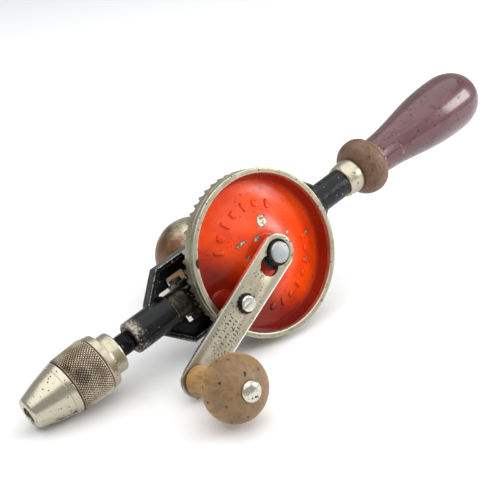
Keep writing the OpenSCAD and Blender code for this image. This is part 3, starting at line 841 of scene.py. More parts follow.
@dataclass(frozen=True)
class WornBall(Finish):
    """Nickel plate of the side knob, worn through to copper where the palm rubs."""

    plate: str = "#b8b097"
    dull: str = "#8c8468"
    copper: str = "#8f6a4c"
    brown: str = "#6d4f3c"
    fleck: str = "#2b241b"

    def dress(self, s: Surface) -> None:
        """Builds the plate, its speckled edges and the copper below.

        Args:
            s: The material's surface.
        """
        fine = s.noise(0.9, 1, 6.0, 0.7)
        cloud = s.noise(10.0, 2, 6.0, 0.62)
        side = (0 - s.x + (cloud - 0.5) * 26 + (fine - 0.5) * 5).rise(3.0, 15.0)
        flecks = s.spots(1.3, 0.24, 0.5, 4, 0.5) * cloud.rise(0.4, 0.6)
        copper = s.blend(cloud.rise(0.35, 0.7), self.copper, self.brown)
        colour = s.blend(side, s.blend(cloud.rise(0.4, 0.66), self.plate, self.dull), copper)
        colour = s.blend(flecks, colour, self.fleck)
        height = fine * 0.03 - flecks * 0.08 - side * 0.03
        rough = fine * 0.2 + 0.24 + side * 0.08
        metal = 0.95 - flecks * 0.6
        s.close({"Base Color": colour, "Roughness": rough, "Metallic": metal, "Normal": s.dents(height)})


@dataclass(frozen=True)
class Knurled(Finish):
    """Knurled nickel, bright on the points, brown in the grooves, with one rusty patch."""

    bright: str = "#ddd5c3"
    dull: str = "#b3a38a"
    brown: str = "#5c4631"
    rust: str = "#2e1a10"
    rust_place: Triple = (-113.5, -13.5, 4.0)
    rust_size: Triple = (2.9, 6.0, 4.0)
    rear_radius: float = SLEEVE_REAR_RADIUS
    front_radius: float = SLEEVE_FRONT_RADIUS
    rear: float = SLEEVE_BACK
    length: float = SLEEVE_FRONT - SLEEVE_BACK
    depth: float = KNURL_HEIGHT

    def dress(self, s: Surface) -> None:
        """Builds the colour from the depth below the sleeve's outside.

        Args:
            s: The material's surface.
        """
        fine = s.noise(0.9, 1, 5.0, 0.65)
        cloud = s.noise(7.0, 2, 5.0, 0.6)
        slope = (self.front_radius - self.rear_radius) / self.length
        depth = (0 - s.x - self.rear) * slope + self.rear_radius - s.about_spindle()
        groove = (depth + (fine - 0.5) * 0.16).rise(self.depth * 0.3, self.depth * 0.85)
        rust = s.patch(self.rust_place, self.rust_size, 0, 1.4, 4).larger(cloud.rise(0.63, 0.7))
        colour = s.blend(groove, s.blend(cloud.rise(0.4, 0.65), self.bright, self.dull), self.brown)
        colour = s.blend(rust * (groove * 0.5 + 0.4), colour, self.rust)
        rough = fine * 0.2 + 0.26 + groove * 0.2 + rust * 0.15
        metal = 1 - groove * 0.35 - rust * 0.3
        s.close(
            {"Base Color": colour, "Roughness": rough, "Metallic": metal, "Normal": s.dents(fine * 0.02)}
        )


class Mould:
    """Makes meshes in a piece's own millimetres and lays them in the tool."""

    @staticmethod
    def cast(name: str, mesh: bmesh.types.BMesh) -> bpy.types.Mesh:
        """Turns a mesh that is being worked on into mesh data, and frees it.

        Args:
            name: The data's name.
            mesh: The mesh.

        Returns:
            The mesh data.
        """
        data = bpy.data.meshes.new(name)
        mesh.to_mesh(data)
        mesh.free()
        return data

    @staticmethod
    def laid(name: str, data: bpy.types.ID) -> bpy.types.Object:
        """Puts a mesh, a lamp or a camera into the scene.

        Args:
            name: The object's name.
            data: What it holds.

        Returns:
            The object, at the origin.
        """
        obj = bpy.data.objects.new(name, data)
        bpy.context.scene.collection.objects.link(obj)
        return obj

    @staticmethod
    def finished(*objects: bpy.types.Object) -> bpy.types.Mesh:
        """Keeps what the modifiers of an object make of it.

        Args:
            objects: The object, and the helpers that its modifiers use. All are removed.

        Returns:
            The result as a plain mesh.
        """
        evaluated = objects[0].evaluated_get(bpy.context.evaluated_depsgraph_get())
        result = bpy.data.meshes.new_from_object(evaluated)
        for obj in objects:
            bpy.data.objects.remove(obj)
        return result

    @staticmethod
    def rounded(points: Sequence[tuple], steps: int = 4) -> list[Point]:
        """Rounds the corners of an outline.

        Args:
            points: Corners as radius, place and, where wanted, how far the rounding reaches.
            steps: The number of short lines in a rounding.

        Returns:
            The outline with its corners rounded.
        """
        result: list[Point] = []
        count = len(points)
        for i, corner in enumerate(points):
            here = Vector(corner[:2])
            reach = corner[2] if len(corner) > 2 else 0.0
            if not reach:
                result.append(tuple(here))
                continue
            before, after = Vector(points[i - 1][:2]), Vector(points[(i + 1) % count][:2])
            first = here + (before - here).normalized() * min(reach, (before - here).length * 0.49)
            last = here + (after - here).normalized() * min(reach, (after - here).length * 0.49)
            for k in range(steps + 1):
                t = k / steps
                result.append(tuple(first * (1 - t) ** 2 + here * 2 * t * (1 - t) + last * t * t))
        return result

    @staticmethod
    def curve(a: Point, b: Point, c: Point, d: Point, steps: int) -> list[Point]:
        """Gives the points of a cubic curve.

        Args:
            a: Where it starts.
            b: Where it heads for at its start.
            c: Where it comes from at its end.
            d: Where it ends.
            steps: The number of short lines in it.

        Returns:
            Its points, both ends among them.
        """
        points = []
        for i in range(steps + 1):
            t = i / steps
            w = ((1 - t) ** 3, 3 * (1 - t) ** 2 * t, 3 * (1 - t) * t * t, t**3)
            points.append(tuple(sum(k * p[j] for k, p in zip(w, (a, b, c, d))) for j in (0, 1)))
        return points

    @staticmethod
    def turned(outline: Sequence[Point], around: int = 128, closed: bool = True) -> bmesh.types.BMesh:
        """Turns an outline round the piece's own Z.

        Args:
            outline: Points as radius and place.
            around: The number of steps in a turn.
            closed: Whether the last point joins the first, as on a ring.

        Returns:
            The mesh, with its faces outwards.
        """
        mesh = bmesh.new()
        rings = []
        for radius, place in outline:
            if radius < ON_AXIS:
                rings.append([mesh.verts.new((0, 0, place))])
                continue
            turns = [math.tau * k / around for k in range(around)]
            rings.append([mesh.verts.new((radius * math.cos(t), radius * math.sin(t), place)) for t in turns])
        for low, high in zip(rings, rings[1:] + rings[:1] if closed else rings[1:]):
            for k in range(around):
                n = (k + 1) % around
                if len(low) == 1 and len(high) == 1:
                    break
                if len(low) == 1:
                    mesh.faces.new((low[0], high[n], high[k]))
                elif len(high) == 1:
                    mesh.faces.new((low[k], low[n], high[0]))
                else:
                    mesh.faces.new((low[k], low[n], high[n], high[k]))
        bmesh.ops.recalc_face_normals(mesh, faces=mesh.faces)
        return mesh

    @staticmethod
    def copied(node: str, edge: float = 0.0, angle: float = 28.0) -> bmesh.types.BMesh:
        """Copies a CAD node in the tool's millimetres, joins its triangles and softens its edges.

        Args:
            node: The node's name.
            edge: The width of the bevel on its sharp edges, in millimetres.
            angle: The least angle of a sharp edge, in degrees.

        Returns:
            The mesh in the tool's own axes.
        """
        mesh = bmesh.new()
        mesh.from_mesh(frame["nodes"][node].data)
        mesh.transform(TOOL.to_world.inverted())
        bmesh.ops.remove_doubles(mesh, verts=mesh.verts, dist=0.004)
        flat = math.radians(0.6)
        bmesh.ops.dissolve_limit(mesh, angle_limit=flat, verts=mesh.verts, edges=mesh.edges)
        least = math.radians(angle)
        sharp = [e for e in mesh.edges if len(e.link_faces) == 2 and e.calc_face_angle(0) > least]
        if edge and sharp:
            bmesh.ops.bevel(
                mesh, geom=sharp, offset=edge, segments=2, profile=0.6, affect="EDGES", clamp_overlap=True
            )
        return mesh

    @staticmethod
    def piece(
        name: str,
        mesh: bmesh.types.BMesh | bpy.types.Mesh,
        body: str,
        finish: "Finish | Sequence[Finish]",
        nodes: Sequence[str] = (),
        lie: Matrix | None = None,
        crease: float = 32.0,
    ) -> bpy.types.Object:
        """Lays a mesh in the tool and makes it a finished piece.

        Args:
            name: The piece's name.
            mesh: Its mesh, in its own millimetres.
            body: The body that it rides on.
            finish: Its finish, or one for each of its material numbers.
            nodes: The CAD nodes that it stands for.
            lie: The turn from its own axes to the tool's.
            crease: The angle from which an edge stays sharp, in degrees.

        Returns:
            The finished object.
        """
        finishes = [finish] if isinstance(finish, Finish) else list(finish)
        data = Mould.cast(name, mesh) if isinstance(mesh, bmesh.types.BMesh) else mesh
        data.name = name
        data.transform(TOOL.to_world @ (lie or Matrix.Identity(4)))
        # Clearing the materials sets every face's number to 0, so the numbers are kept
        numbers = [polygon.material_index for polygon in data.polygons]
        data.materials.clear()
        for each in finishes:
            data.materials.append(each.material())
        data.polygons.foreach_set("material_index", [min(n, len(finishes) - 1) for n in numbers])
        data.polygons.foreach_set("use_smooth", [True] * len(data.polygons))
        data.set_sharp_from_angle(angle=math.radians(crease))
        obj = Mould.laid(name, data)
        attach(obj, body)
        if nodes:
            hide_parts(*nodes)
        LOG.info("%s: %d faces on %s", name, len(data.polygons), body)
        return obj


class Grower(Tree):
    """A Geometry Nodes tree with named inputs, whose result becomes a plain mesh."""

    def __init__(self, name: str, inputs: dict[str, float | int]) -> None:
        """Starts the tree.

        Args:
            name: The tree's name.
            inputs: Its named sizes; whole numbers make whole-number sockets.
        """
        group = bpy.data.node_groups.new(name, "GeometryNodeTree")
        super().__init__(group)
        group.interface.new_socket("Geometry", in_out="INPUT", socket_type="NodeSocketGeometry")
        self.sizes = dict(inputs)
        for key, value in inputs.items():
            kind = "NodeSocketInt" if isinstance(value, int) else "NodeSocketFloat"
            group.interface.new_socket(key, in_out="INPUT", socket_type=kind)
        group.interface.new_socket("Geometry", in_out="OUTPUT", socket_type="NodeSocketGeometry")
        self.source = self.add("NodeGroupInput")

    def size(self, key: str) -> Value:
        """Gives one of the named inputs as a value."""
        return Value(self, self.source.outputs[key])

    def index(self) -> Value:
        """Gives the number of each point, from 0."""
        return Value(self, self.add("GeometryNodeInputIndex").outputs[0])

    def repeated(
        self, points: bpy.types.NodeSocket, angle: Value, tilt: float = 0.0
    ) -> bpy.types.NodeSocket:
        """Puts the base mesh on points.

        Args:
            points: The points.
            angle: How far each copy is turned about Z.
            tilt: How far it is tilted about Y before that.

        Returns:
            The copies.
        """
        turn = self.add("ShaderNodeCombineXYZ", None, {"Y": tilt, "Z": angle})
        inputs = {"Points": points, "Instance": self.source.outputs["Geometry"], "Rotation": turn.outputs[0]}
        return self.add("GeometryNodeInstanceOnPoints", None, inputs).outputs[0]

    def grow(
        self, geometry: bpy.types.NodeSocket, finish: Finish, base: bmesh.types.BMesh | None = None
    ) -> bpy.types.Mesh:
        """Ends the tree, runs it and keeps the result.

        Args:
            geometry: The instances or mesh that the tree made.
            finish: The finish of the result.
            base: The mesh that goes into the tree, where it takes one.

        Returns:
            The result as a plain mesh in the piece's own millimetres.
        """
        real = self.add("GeometryNodeRealizeInstances", None, {0: geometry})
        inputs = {"Geometry": real.outputs[0], "Material": finish.material()}
        dressed = self.add("GeometryNodeSetMaterial", None, inputs)
        self.add("NodeGroupOutput", None, {0: dressed.outputs[0]})
        obj = Mould.laid("base", Mould.cast("base", bmesh.new() if base is None else base))
        modifier = obj.modifiers.new("grow", "NODES")
        modifier.node_group = self.tree
        for item in self.tree.interface.items_tree:
            if item.item_type == "SOCKET" and item.in_out == "INPUT" and item.name in self.sizes:
                modifier[item.identifier] = self.sizes[item.name]
        obj.update_tag()
        return Mould.finished(obj)


def fan(
    name: str, unit: bmesh.types.BMesh, count: int, first: float, step: float, finish: Finish
) -> bpy.types.Mesh:
    """Repeats a unit about its own Z, as gear teeth or a row of pips.

    Args:
        name: The tree's name.
        unit: The unit in its first place, at angle 0.
        count: How many there are.
        first: The angle of the first, in degrees.
        step: The angle from one to the next, in degrees.
        finish: Their finish.

    Returns:
        All of them as one mesh.
    """
    sizes = {"Count": count, "First angle": math.radians(first), "Step": math.radians(step)}
    grower = Grower(name, sizes)
    points = grower.add("GeometryNodePoints", None, {"Count": grower.size("Count")})
    angle = grower.index() * grower.size("Step") + grower.size("First angle")
    return grower.grow(grower.repeated(points.outputs[0], angle), finish, unit)


def prism(sections: Sequence[tuple[float, Sequence[Point]]], edge: float = 0.0) -> bmesh.types.BMesh:
    """Builds a solid through several outlines, one above the other.

    Args:
        sections: The height of each outline, and its corners.
        edge: The width of the bevel on its edges.

    Returns:
        The closed mesh.
    """
    mesh = bmesh.new()
    rings = [[mesh.verts.new((x, y, height)) for x, y in outline] for height, outline in sections]
    count = len(rings[0])
    for low, high in zip(rings, rings[1:]):
        for k in range(count):
            mesh.faces.new((low[k], low[(k + 1) % count], high[(k + 1) % count], high[k]))
    mesh.faces.new(rings[0][::-1])
    mesh.faces.new(rings[-1])
    bmesh.ops.recalc_face_normals(mesh, faces=mesh.faces)
    if edge:
        bmesh.ops.bevel(mesh, geom=mesh.edges[:], offset=edge, segments=2, profile=0.6, affect="EDGES")
    return mesh


def nose_marks(s: Surface) -> Value:
    """Marks the dark scratches low on the chuck's nose.

    Args:
        s: The nose's surface.

    Returns:
        A mask that is 1 in the scratches.
    """
    scratches = s.noise(2.2, 31, 5.0, 0.7, s.stretched((0.35, 1.0, 1.0))).rise(0.52, 0.57)
    low = (0 - s.z + s.y * 0.25 + (s.noise(5.0, 33, 3.0) - 0.5) * 10).rise(3.0, 8.0)
    return scratches * low * s.x.rise(-121.5, -123.5)


def handled_end(s: Surface) -> Value:
    """Marks the crank knob's outer end, which hands have darkened.

    Args:
        s: The knob's surface.

    Returns:
        A mask of the darkened wood.
    """
    return (0 - s.y + (s.noise(8.0, 21, 4.0) - 0.5) * 10).rise(58.0, 70.0) * 0.6


RIM = RimPlate("rim_nickel", "red_enamel", 2.0, metal="#a9a28d", stain="#7d7459")
NICKEL = Plate("pitted_nickel", "nickel", 5.0)
ARM = ArmPlate("arm_nickel", "nickel", 7.0, metal="#aca592", stain="#83795f")
NOSE = Plate(
    "nose_nickel",
    "nickel",
    19.0,
    metal="#bdb6a3",
    stain="#8b8169",
    roughness=0.24,
    stained=0.4,
    extra=nose_marks,
)
RIVET = Plate(
    "battered_rivet",
    "nickel",
    23.0,
    metal="#d0cabd",
    stain="#8f846e",
    roughness=0.2,
    pit_radius=0.62,
    pit_share=0.62,
)
SCREW = Plate(
    "bright_screw", "nickel", 17.0, metal="#dcd8cf", stain="#a89f8a", roughness=0.22, pit_share=0.2
)
STEEL = Plate(
    "machined_steel", "grey_steel", 9.0, metal="#7a7c7f", stain="#4c4a45", stained=0.6, roughness=0.34
)
# Partly painted highlight: a lighter copy of the machined steel, brightened so that the axle head looks lit
HEAD = Plate(
    "axle_head_steel",
    "grey_steel",
    27.0,
    metal="#a9abac",
    stain="#77756f",
    stained=0.4,
    roughness=0.42,
    pit_share=0.2,
)
GEAR = Plate(
    "greasy_gear_steel", "grey_steel", 13.0, metal="#4b4842", stain="#191713", stained=0.9, roughness=0.38
)
DARK = Plate(
    "oiled_dark_steel", "dark_steel", 11.0, metal="#2b2c2e", stain="#15130f", stained=0.5, pit_share=0.1
)
BRONZE = Plate("sintered_bronze", "bronze", 15.0, metal="#4a3e2b", stain="#241d13", roughness=0.4)
DISH = DishEnamel("dish_red_enamel", "red_enamel", 1.0)
BLACK = BlackEnamel("black_enamel_coat", "black_enamel", 1.0)
MAROON = MaroonPaint("maroon_handle_paint", "maroon_paint")
BEAD = BareWood(
    "bead_wood",
    "maroon_paint",
    4.0,
    light="#7f604a",
    dark="#573d2d",
    stretch=(1.0, 0.2, 1.0),
    tint="#463025",
)
KNOB = BareWood(
    "crank_knob_wood",
    "knob_wood",
    8.0,
    light="#ba9058",
    dark="#82603e",
    shade=handled_end,
    tint="#66543f",
)
BALL = WornBall("side_knob_nickel", "worn_nickel")
KNURL = Knurled("knurled_sleeve_nickel", "knurled_nickel")


@dataclass
class DriveWheel:
    """The dished wheel with its crown teeth, hub, screw boss and raised marks."""

    rim_radius: float = RIM_RADIUS
    web_edge: float = 39.8
    ring_radius: float = 40.4
    lip: float = 2.8
    front: float = RIM_FRONT
    wall_foot: Point = (39.1, 12.7)
    bore: float = 6.0
    hub_radius: float = 9.0
    hub_back: float = 10.2
    hub_front: float = 27.5
    collar_radius: float = 6.85
    collar_front: float = 28.7
    dish_radius: float = 38.2
    floor: float = 11.5
    back: float = 9.5
    dome: float = 9.0
    # The rim's groove: places along the axle, and how deep it is there
    groove: tuple[Point, ...] = ((16.8, 0.0), (17.1, 0.25), (17.7, 0.25), (18.0, 0.0))
    teeth: int = 56
    pressure_degrees: float = 20.0
    tooth_tip: float = 9.225
    tooth_root: float = 12.15
    tooth_half: float = 0.953
    tip_rise: float = 1.275
    root_fall: float = 1.65
    screw_reach: float = 31.9
    screw_degrees: float = CRANK_DEGREES
    screw_bore: float = 2.02
    boss_radius: float = 6.0
    boss_foot: float = 9.4
    boss_front: float = 27.45
    # Each band of marks: its radius, how many, the first angle and the step
    bands: tuple[tuple[float, int, float, float], ...] = ((26.0, 7, 149.3, -16.3), (29.3, 8, -13.0, -13.3))
    # The two marks that take turns: half sizes along the radius and across it
    marks: tuple[tuple[str, float, float], ...] = (("bars", 2.5, 1.05), ("pips", 1.75, 1.75))
    # A mark's heights over the dish, and its breadth there
    mark_levels: tuple[Point, ...] = ((-0.8, 1.12), (0.45, 1.0), (0.85, 0.84), (0.95, 0.62))

    def height(self, base: float, radius: float) -> float:
        """Gives the place of the domed web at a radius."""
        part = (radius - self.hub_radius) / (self.dish_radius - self.hub_radius)
        return base + self.dome * (1 + math.cos(math.pi * part)) / 2

    def casting(self) -> None:
        """Builds the turned casting, red in the dish and plated on the rim."""
        rim, inside = self.rim_radius, self.rim_radius - self.lip
        span = self.dish_radius - self.hub_radius
        radii = [self.hub_radius + span * i / 24 for i in range(25)]
        back = [(self.bore, self.hub_back), (self.hub_radius, self.hub_back, 0.6)]
        back += [(r, self.height(self.back, r)) for r in radii]
        ring = [
            (self.web_edge, self.back, 0.2),
            (self.web_edge, self.tooth_root),
            (rim, self.tooth_root, 0.3),
        ]
        flank = [(rim - deep, place) for place, deep in self.groove]
        lip = [
            (rim, self.front, 0.7),
            (inside, self.front, 0.7),
            (inside - 0.5, self.front - 4, 1.2),
            (*self.wall_foot, 2.2),
        ]
        dish = [(r, self.height(self.floor, r)) for r in reversed(radii[1:])]
        hub = [
            (self.hub_radius + 0.4, 20.5, 1.6),
            (self.hub_radius, self.hub_front, 0.5),
            (self.collar_radius, self.hub_front),
            (self.collar_radius, self.collar_front, 0.2),
            (self.bore, self.collar_front),
        ]
        mesh = Mould.turned(Mould.rounded(back + ring + flank + lip + dish + hub), 192)
        for face in mesh.faces:
            centre = face.calc_center_median()
            radius = math.hypot(centre.x, centre.y)
            behind = radius > self.web_edge - 0.1 and centre.z < self.tooth_root + 0.1
            face.material_index = 1 if behind or radius > inside - 0.35 else 0
        lie = Lie.OUTBOARD.matrix()
        Mould.piece("drive_wheel_casting", mesh, "wheel", [DISH, RIM], ["drive_wheel"], lie)

    def crown(self) -> None:
        """Cuts the crown of teeth behind the rim."""
        slope = math.tan(math.radians(self.pressure_degrees))
        tip = self.tooth_half - self.tip_rise * slope
        root = self.tooth_half + self.root_fall * slope
        inner, outer = self.ring_radius, self.rim_radius - 0.1
        outline = [(inner, -1.0), (outer, -1.0), (outer, 1.0), (inner, 1.0)]
        levels = [
            (z, [(x, y * w) for x, y in outline])
            for z, w in ((self.tooth_tip, tip), (self.tooth_root, root), (self.tooth_root + 0.5, root))
        ]
        mesh = fan("crown_teeth", prism(levels, 0.12), self.teeth, 180.0, 360 / self.teeth, RIM)
        Mould.piece("drive_wheel_teeth", mesh, "wheel", RIM, ["drive_wheel"], Lie.OUTBOARD.matrix())

    def boss(self) -> None:
        """Builds the boss that the arm's screw goes into, flared at its foot."""
        foot = self.height(self.floor, self.screw_reach) - 1.2
        outline = [
            (self.screw_bore, foot),
            (self.boss_foot, foot),
            (self.boss_radius + 1.2, foot + 2.0, 1.4),
            (self.boss_radius, foot + 5.0, 2.0),
            (self.boss_radius, self.boss_front, 0.4),
            (self.screw_bore, self.boss_front),
        ]
        turn = Matrix.Rotation(math.radians(self.screw_degrees), 4, "Z")
        lie = Lie.OUTBOARD.matrix() @ turn @ Matrix.Translation((self.screw_reach, 0, 0))
        mesh = Mould.turned(Mould.rounded(outline), 72)
        Mould.piece("screw_boss", mesh, "wheel", DISH, ["drive_wheel"], lie)

    def mark(self, radius: float, tall: float, wide: float) -> bmesh.types.BMesh:
        """Makes one raised mark that follows the slope of the dish.

        Args:
            radius: Its distance from the axle.
            tall: Its half size along the radius.
            wide: Its half size across it.

        Returns:
            The mark, in its first place.
        """
        flat = []
        for k in range(16):
            along, across = math.cos(math.tau * k / 16), math.sin(math.tau * k / 16)
            squared = [math.copysign(abs(part) ** 0.6, part) for part in (along, across)]
            flat.append((squared[0] * tall, squared[1] * wide))
        unit = prism([(h, [(x * q, y * q) for x, y in flat]) for h, q in self.mark_levels])
        ahead, behind = (self.height(self.floor, radius + step) for step in (2.6, -2.6))
        slope = (ahead - behind) / 5.2
        for vert in unit.verts:
            vert.co.z += self.height(self.floor, radius) + slope * vert.co.x
            vert.co.x += radius
        return unit

    def raised(self) -> None:
        """Raises two plain bands of bars and pips on the dish."""
        for band, (radius, count, first, step) in enumerate(self.bands, 1):
            for start, (kind, tall, wide) in enumerate(self.marks):
                name = f"dish_{kind}_{band}"
                many = (count + 1 - start) // 2
                unit = self.mark(radius, tall, wide)
                mesh = fan(name, unit, many, first + start * step, 2 * step, DISH)
                Mould.piece(name, mesh, "wheel", DISH, ["drive_wheel"], Lie.OUTBOARD.matrix(), 60.0)

    def build(self) -> None:
        """Builds the whole wheel."""
        self.casting()
        self.crown()
        self.boss()
        self.raised()


@dataclass
class Crank:
    """The arm, its screw and washer, and the knob on its rivet."""

    degrees: float = CRANK_DEGREES
    reach: float = CRANK_REACH
    front: float = 30.0
    rivet_hole: float = 2.55
    neck_radius: float = 5.8
    knob_radius: float = 15.9
    knob_half: float = 13.3
    knob_centre: float = 33.0
    knob_end: float = 45.6

    def lie(self) -> Matrix:
        """Gives the place of the knob's own axes: its foot on the arm, +Z out of the wheel."""
        turn = Matrix.Rotation(math.radians(self.degrees), 4, "Z")
        return Lie.OUTBOARD.matrix() @ turn @ Matrix.Translation((self.reach, 0, self.front))

    def knob(self) -> None:
        """Turns the wooden knob."""

        def head(degrees: float) -> Point:
            """Gives a point of the round head."""
            angle = math.radians(degrees)
            return self.knob_radius * math.cos(angle), self.knob_centre + self.knob_half * math.sin(angle)

        foot = [(self.rivet_hole, 1.0), (6.8, 1.0), (7.6, 1.8), (7.6, 3.0)]
        neck = Mould.curve((6.8, 5.5), (self.neck_radius, 9.0), (self.neck_radius, 14.0), head(-55), 16)
        ball = [head(-55 + i * 126.3 / 36) for i in range(1, 37)]
        seat = [(4.6, self.knob_end - 0.25), (self.rivet_hole, self.knob_end - 0.3)]
        mesh = Mould.turned(foot + neck + ball + seat)
        Mould.piece("crank_knob_turned", mesh, "knob", KNOB, ["crank_knob"], self.lie())

    def metal(self) -> None:
        """Softens the edges of the arm, the screw, its washer and the rivet."""
        for node, shape, bevel, finish in (
            ("crank_arm", "plate", 0.28, ARM),
            ("arm_screw", "slotted", 0.12, SCREW),
            ("lock_washer", "toothed", 0.08, DARK),
            ("knob_rivet", "headed", 0.1, RIVET),
            ("knob_washer", "flat", 0.1, DARK),
        ):
            Mould.piece(f"{node}_{shape}", Mould.copied(node, bevel), "wheel", finish, [node])

    def build(self) -> None:
        """Builds the whole crank."""
        self.metal()
        self.knob()


@dataclass
class Frame:
    """The cast frame, its axle and its side knob."""

    voxel: float = 0.5
    smoothing: float = 0.5
    rounds: int = 7
    barrel_bore: float = 6.7
    barrel_radius: float = 8.6
    barrel_back: float = 55.0
    barrel_front: float = 80.0
    shank_core: float = 6.0
    shank_radius: float = 8.2
    shank_front: float = 12.0
    shank_end: float = 76.0
    side_radius: float = 22.6
    side_centre: float = 56.0
    side_foot: float = 9.5
    stud_hole: float = 3.02
    seat: float = 10.0

    def casting(self) -> None:
        """Remeshes the casting so that its edges are soft, as sand casting leaves them."""
        barrel = [
            (self.barrel_bore, self.barrel_back),
            (self.barrel_radius, self.barrel_back - 0.4),
            (self.barrel_radius, self.barrel_front - 0.6),
            (self.barrel_radius - 0.6, self.barrel_front),
            (self.barrel_bore, self.barrel_front),
        ]
        shank = [
            (self.shank_core, self.shank_front),
            (self.shank_radius, self.shank_front),
            (self.shank_radius, self.shank_end),
            (self.shank_core, self.shank_end),
        ]
        mesh = Mould.copied("frame_casting")
        for lie, outline in ((Lie.AHEAD, barrel), (Lie.BEHIND, shank)):
            shell = Mould.turned(outline, 96)
            shell.transform(lie.matrix())
            mesh.from_mesh(Mould.cast("shell", shell))
        obj = Mould.laid("casting", Mould.cast("casting", mesh))
        remesh = obj.modifiers.new("remesh", "REMESH")
        remesh.mode, remesh.voxel_size = "VOXEL", self.voxel
        smooth = obj.modifiers.new("smooth", "SMOOTH")
        smooth.factor, smooth.iterations = self.smoothing, self.rounds
        result = Mould.finished(obj)
        Mould.piece("frame_casting_enamelled", result, "frame", BLACK, ["frame_casting"], crease=180.0)

    def side_knob(self) -> None:
        """Turns the metal side knob."""
        r, c, foot = self.side_radius, self.side_centre, self.side_foot

        def ball(degrees: float) -> Point:
            """Gives a point of the ball, counted up from its waist."""
            angle = math.radians(degrees)
            return r * math.cos(angle), c + r * math.sin(angle)

        step = [(self.stud_hole, self.seat), (foot, self.seat, 0.3), (foot, self.seat + 2, 0.5)]
        base = Mould.rounded(step)
        start = (r * math.sin(math.radians(28)), c - r * math.cos(math.radians(28)))
        neck = Mould.curve((8.0, 13.5), (8.0, c - r), (8.0, c - r), start, 18)
        dome = [ball(-55 + 145 * i / 40) for i in range(40)] + [(0.0, c + r)]
        mesh = Mould.turned(base + neck + dome + [(0.0, c), (self.stud_hole, c)])
        Mould.piece("side_knob_ball", mesh, "frame", BALL, ["side_knob"], Lie.INBOARD.matrix())

    def hardware(self) -> None:
        """Dresses the axle, the washers and the front bush."""
        for name, node, bevel, finish in (
            ("axle_head", "axle_stud", 0.6, HEAD),
            ("axle_washer_ring", "axle_washer", 0.1, STEEL),
            ("side_washer_ring", "side_knob_washer", 0.1, STEEL),
            ("front_bush_ring", "front_bush", 0.1, BRONZE),
        ):
            Mould.piece(name, Mould.copied(node, bevel), "frame", finish, [node])

    def build(self) -> None:
        """Builds the whole frame."""
        self.casting()
        self.side_knob()
        self.hardware()


@dataclass
class MainHandle:
    """The painted handle with its bare bead and its ferrule."""

    shank_end: float = 76.0
    ferrule_end: float = 87.0
    bead_end: float = BEAD_END
    swell: float = 174.0
    end: float = 198.0
    ferrule_radius: float = 10.1
    bead_radius: float = 16.8
    neck_radius: float = 11.2
    grip_radius: float = 18.4
    tail_power: float = 2.3
    tang_radius: float = 4.6
    tenon_radius: float = 7.8

    def grip(self) -> None:
        """Turns the painted grip."""
        body = Mould.curve(
            (self.neck_radius, self.bead_end + 1),
            (self.neck_radius + 0.4, self.bead_end + 30),
            (self.grip_radius, self.swell - 32),
            (self.grip_radius, self.swell),
            40,
        )
        tail = []
        for i in range(1, 29):
            t = 1 - (1 - i / 28) ** 2
            radius = self.grip_radius * (1 - t**self.tail_power) ** (1 / self.tail_power)
            tail.append((radius, self.swell + (self.end - self.swell) * t))
        tail[-1] = (0.0, self.end)
        front = [
            (0.0, self.bead_end - 1.0),
            (self.neck_radius - 0.6, self.bead_end - 1.0),
            (self.neck_radius - 0.3, self.bead_end + 0.4),
        ]
        mesh = Mould.turned(front + body + tail, 128, False)
        Mould.piece("handle_grip_painted", mesh, "frame", MAROON, ["main_handle"], Lie.BEHIND.matrix())

    def bead(self) -> None:
        """Turns the bare bead with the ferrule's tenon."""
        back, front, top = self.bead_end + 0.6, self.ferrule_end, self.bead_radius
        crest = front + 0.6 * (back - front)
        foot, neck = (self.ferrule_radius, front), (self.neck_radius, back)
        swelling = Mould.curve(foot, (13.2, front + 0.3), (top, front + 3.6), (top, crest), 18)
        waning = Mould.curve((top, crest), (top, back - 2.2), (14.6, back - 0.2), neck, 18)
        tang, tenon, start = self.tang_radius, self.tenon_radius, self.shank_end
        inside = [(tang, start), (tenon, start), (tenon, front)]
        mesh = Mould.turned(inside + swelling + waning[1:] + [(tang, back)])
        Mould.piece("handle_bead_bare", mesh, "frame", BEAD, ["main_handle"], Lie.BEHIND.matrix())

    def ferrule(self) -> None:
        """Turns the plated ferrule."""
        bore, front, wide = self.tenon_radius + 0.02, self.shank_end, self.ferrule_radius
        back = self.ferrule_end - 0.02
        outline = [
            (bore, front),
            (bore, back),
            (wide - 0.3, back, 0.3),
            (wide, 85.5, 0.8),
            (wide, 82.0, 1.8),
            (wide - 0.5, 78.5, 1.4),
            (wide - 0.7, front + 0.6, 0.4),
            (wide - 1.2, front, 0.3),
        ]
        mesh = Mould.turned(Mould.rounded(outline))
        Mould.piece("handle_ferrule_plated", mesh, "frame", NICKEL, ["handle_ferrule"], Lie.BEHIND.matrix())

    def build(self) -> None:
        """Builds the whole handle."""
        self.grip()
        self.bead()
        self.ferrule()


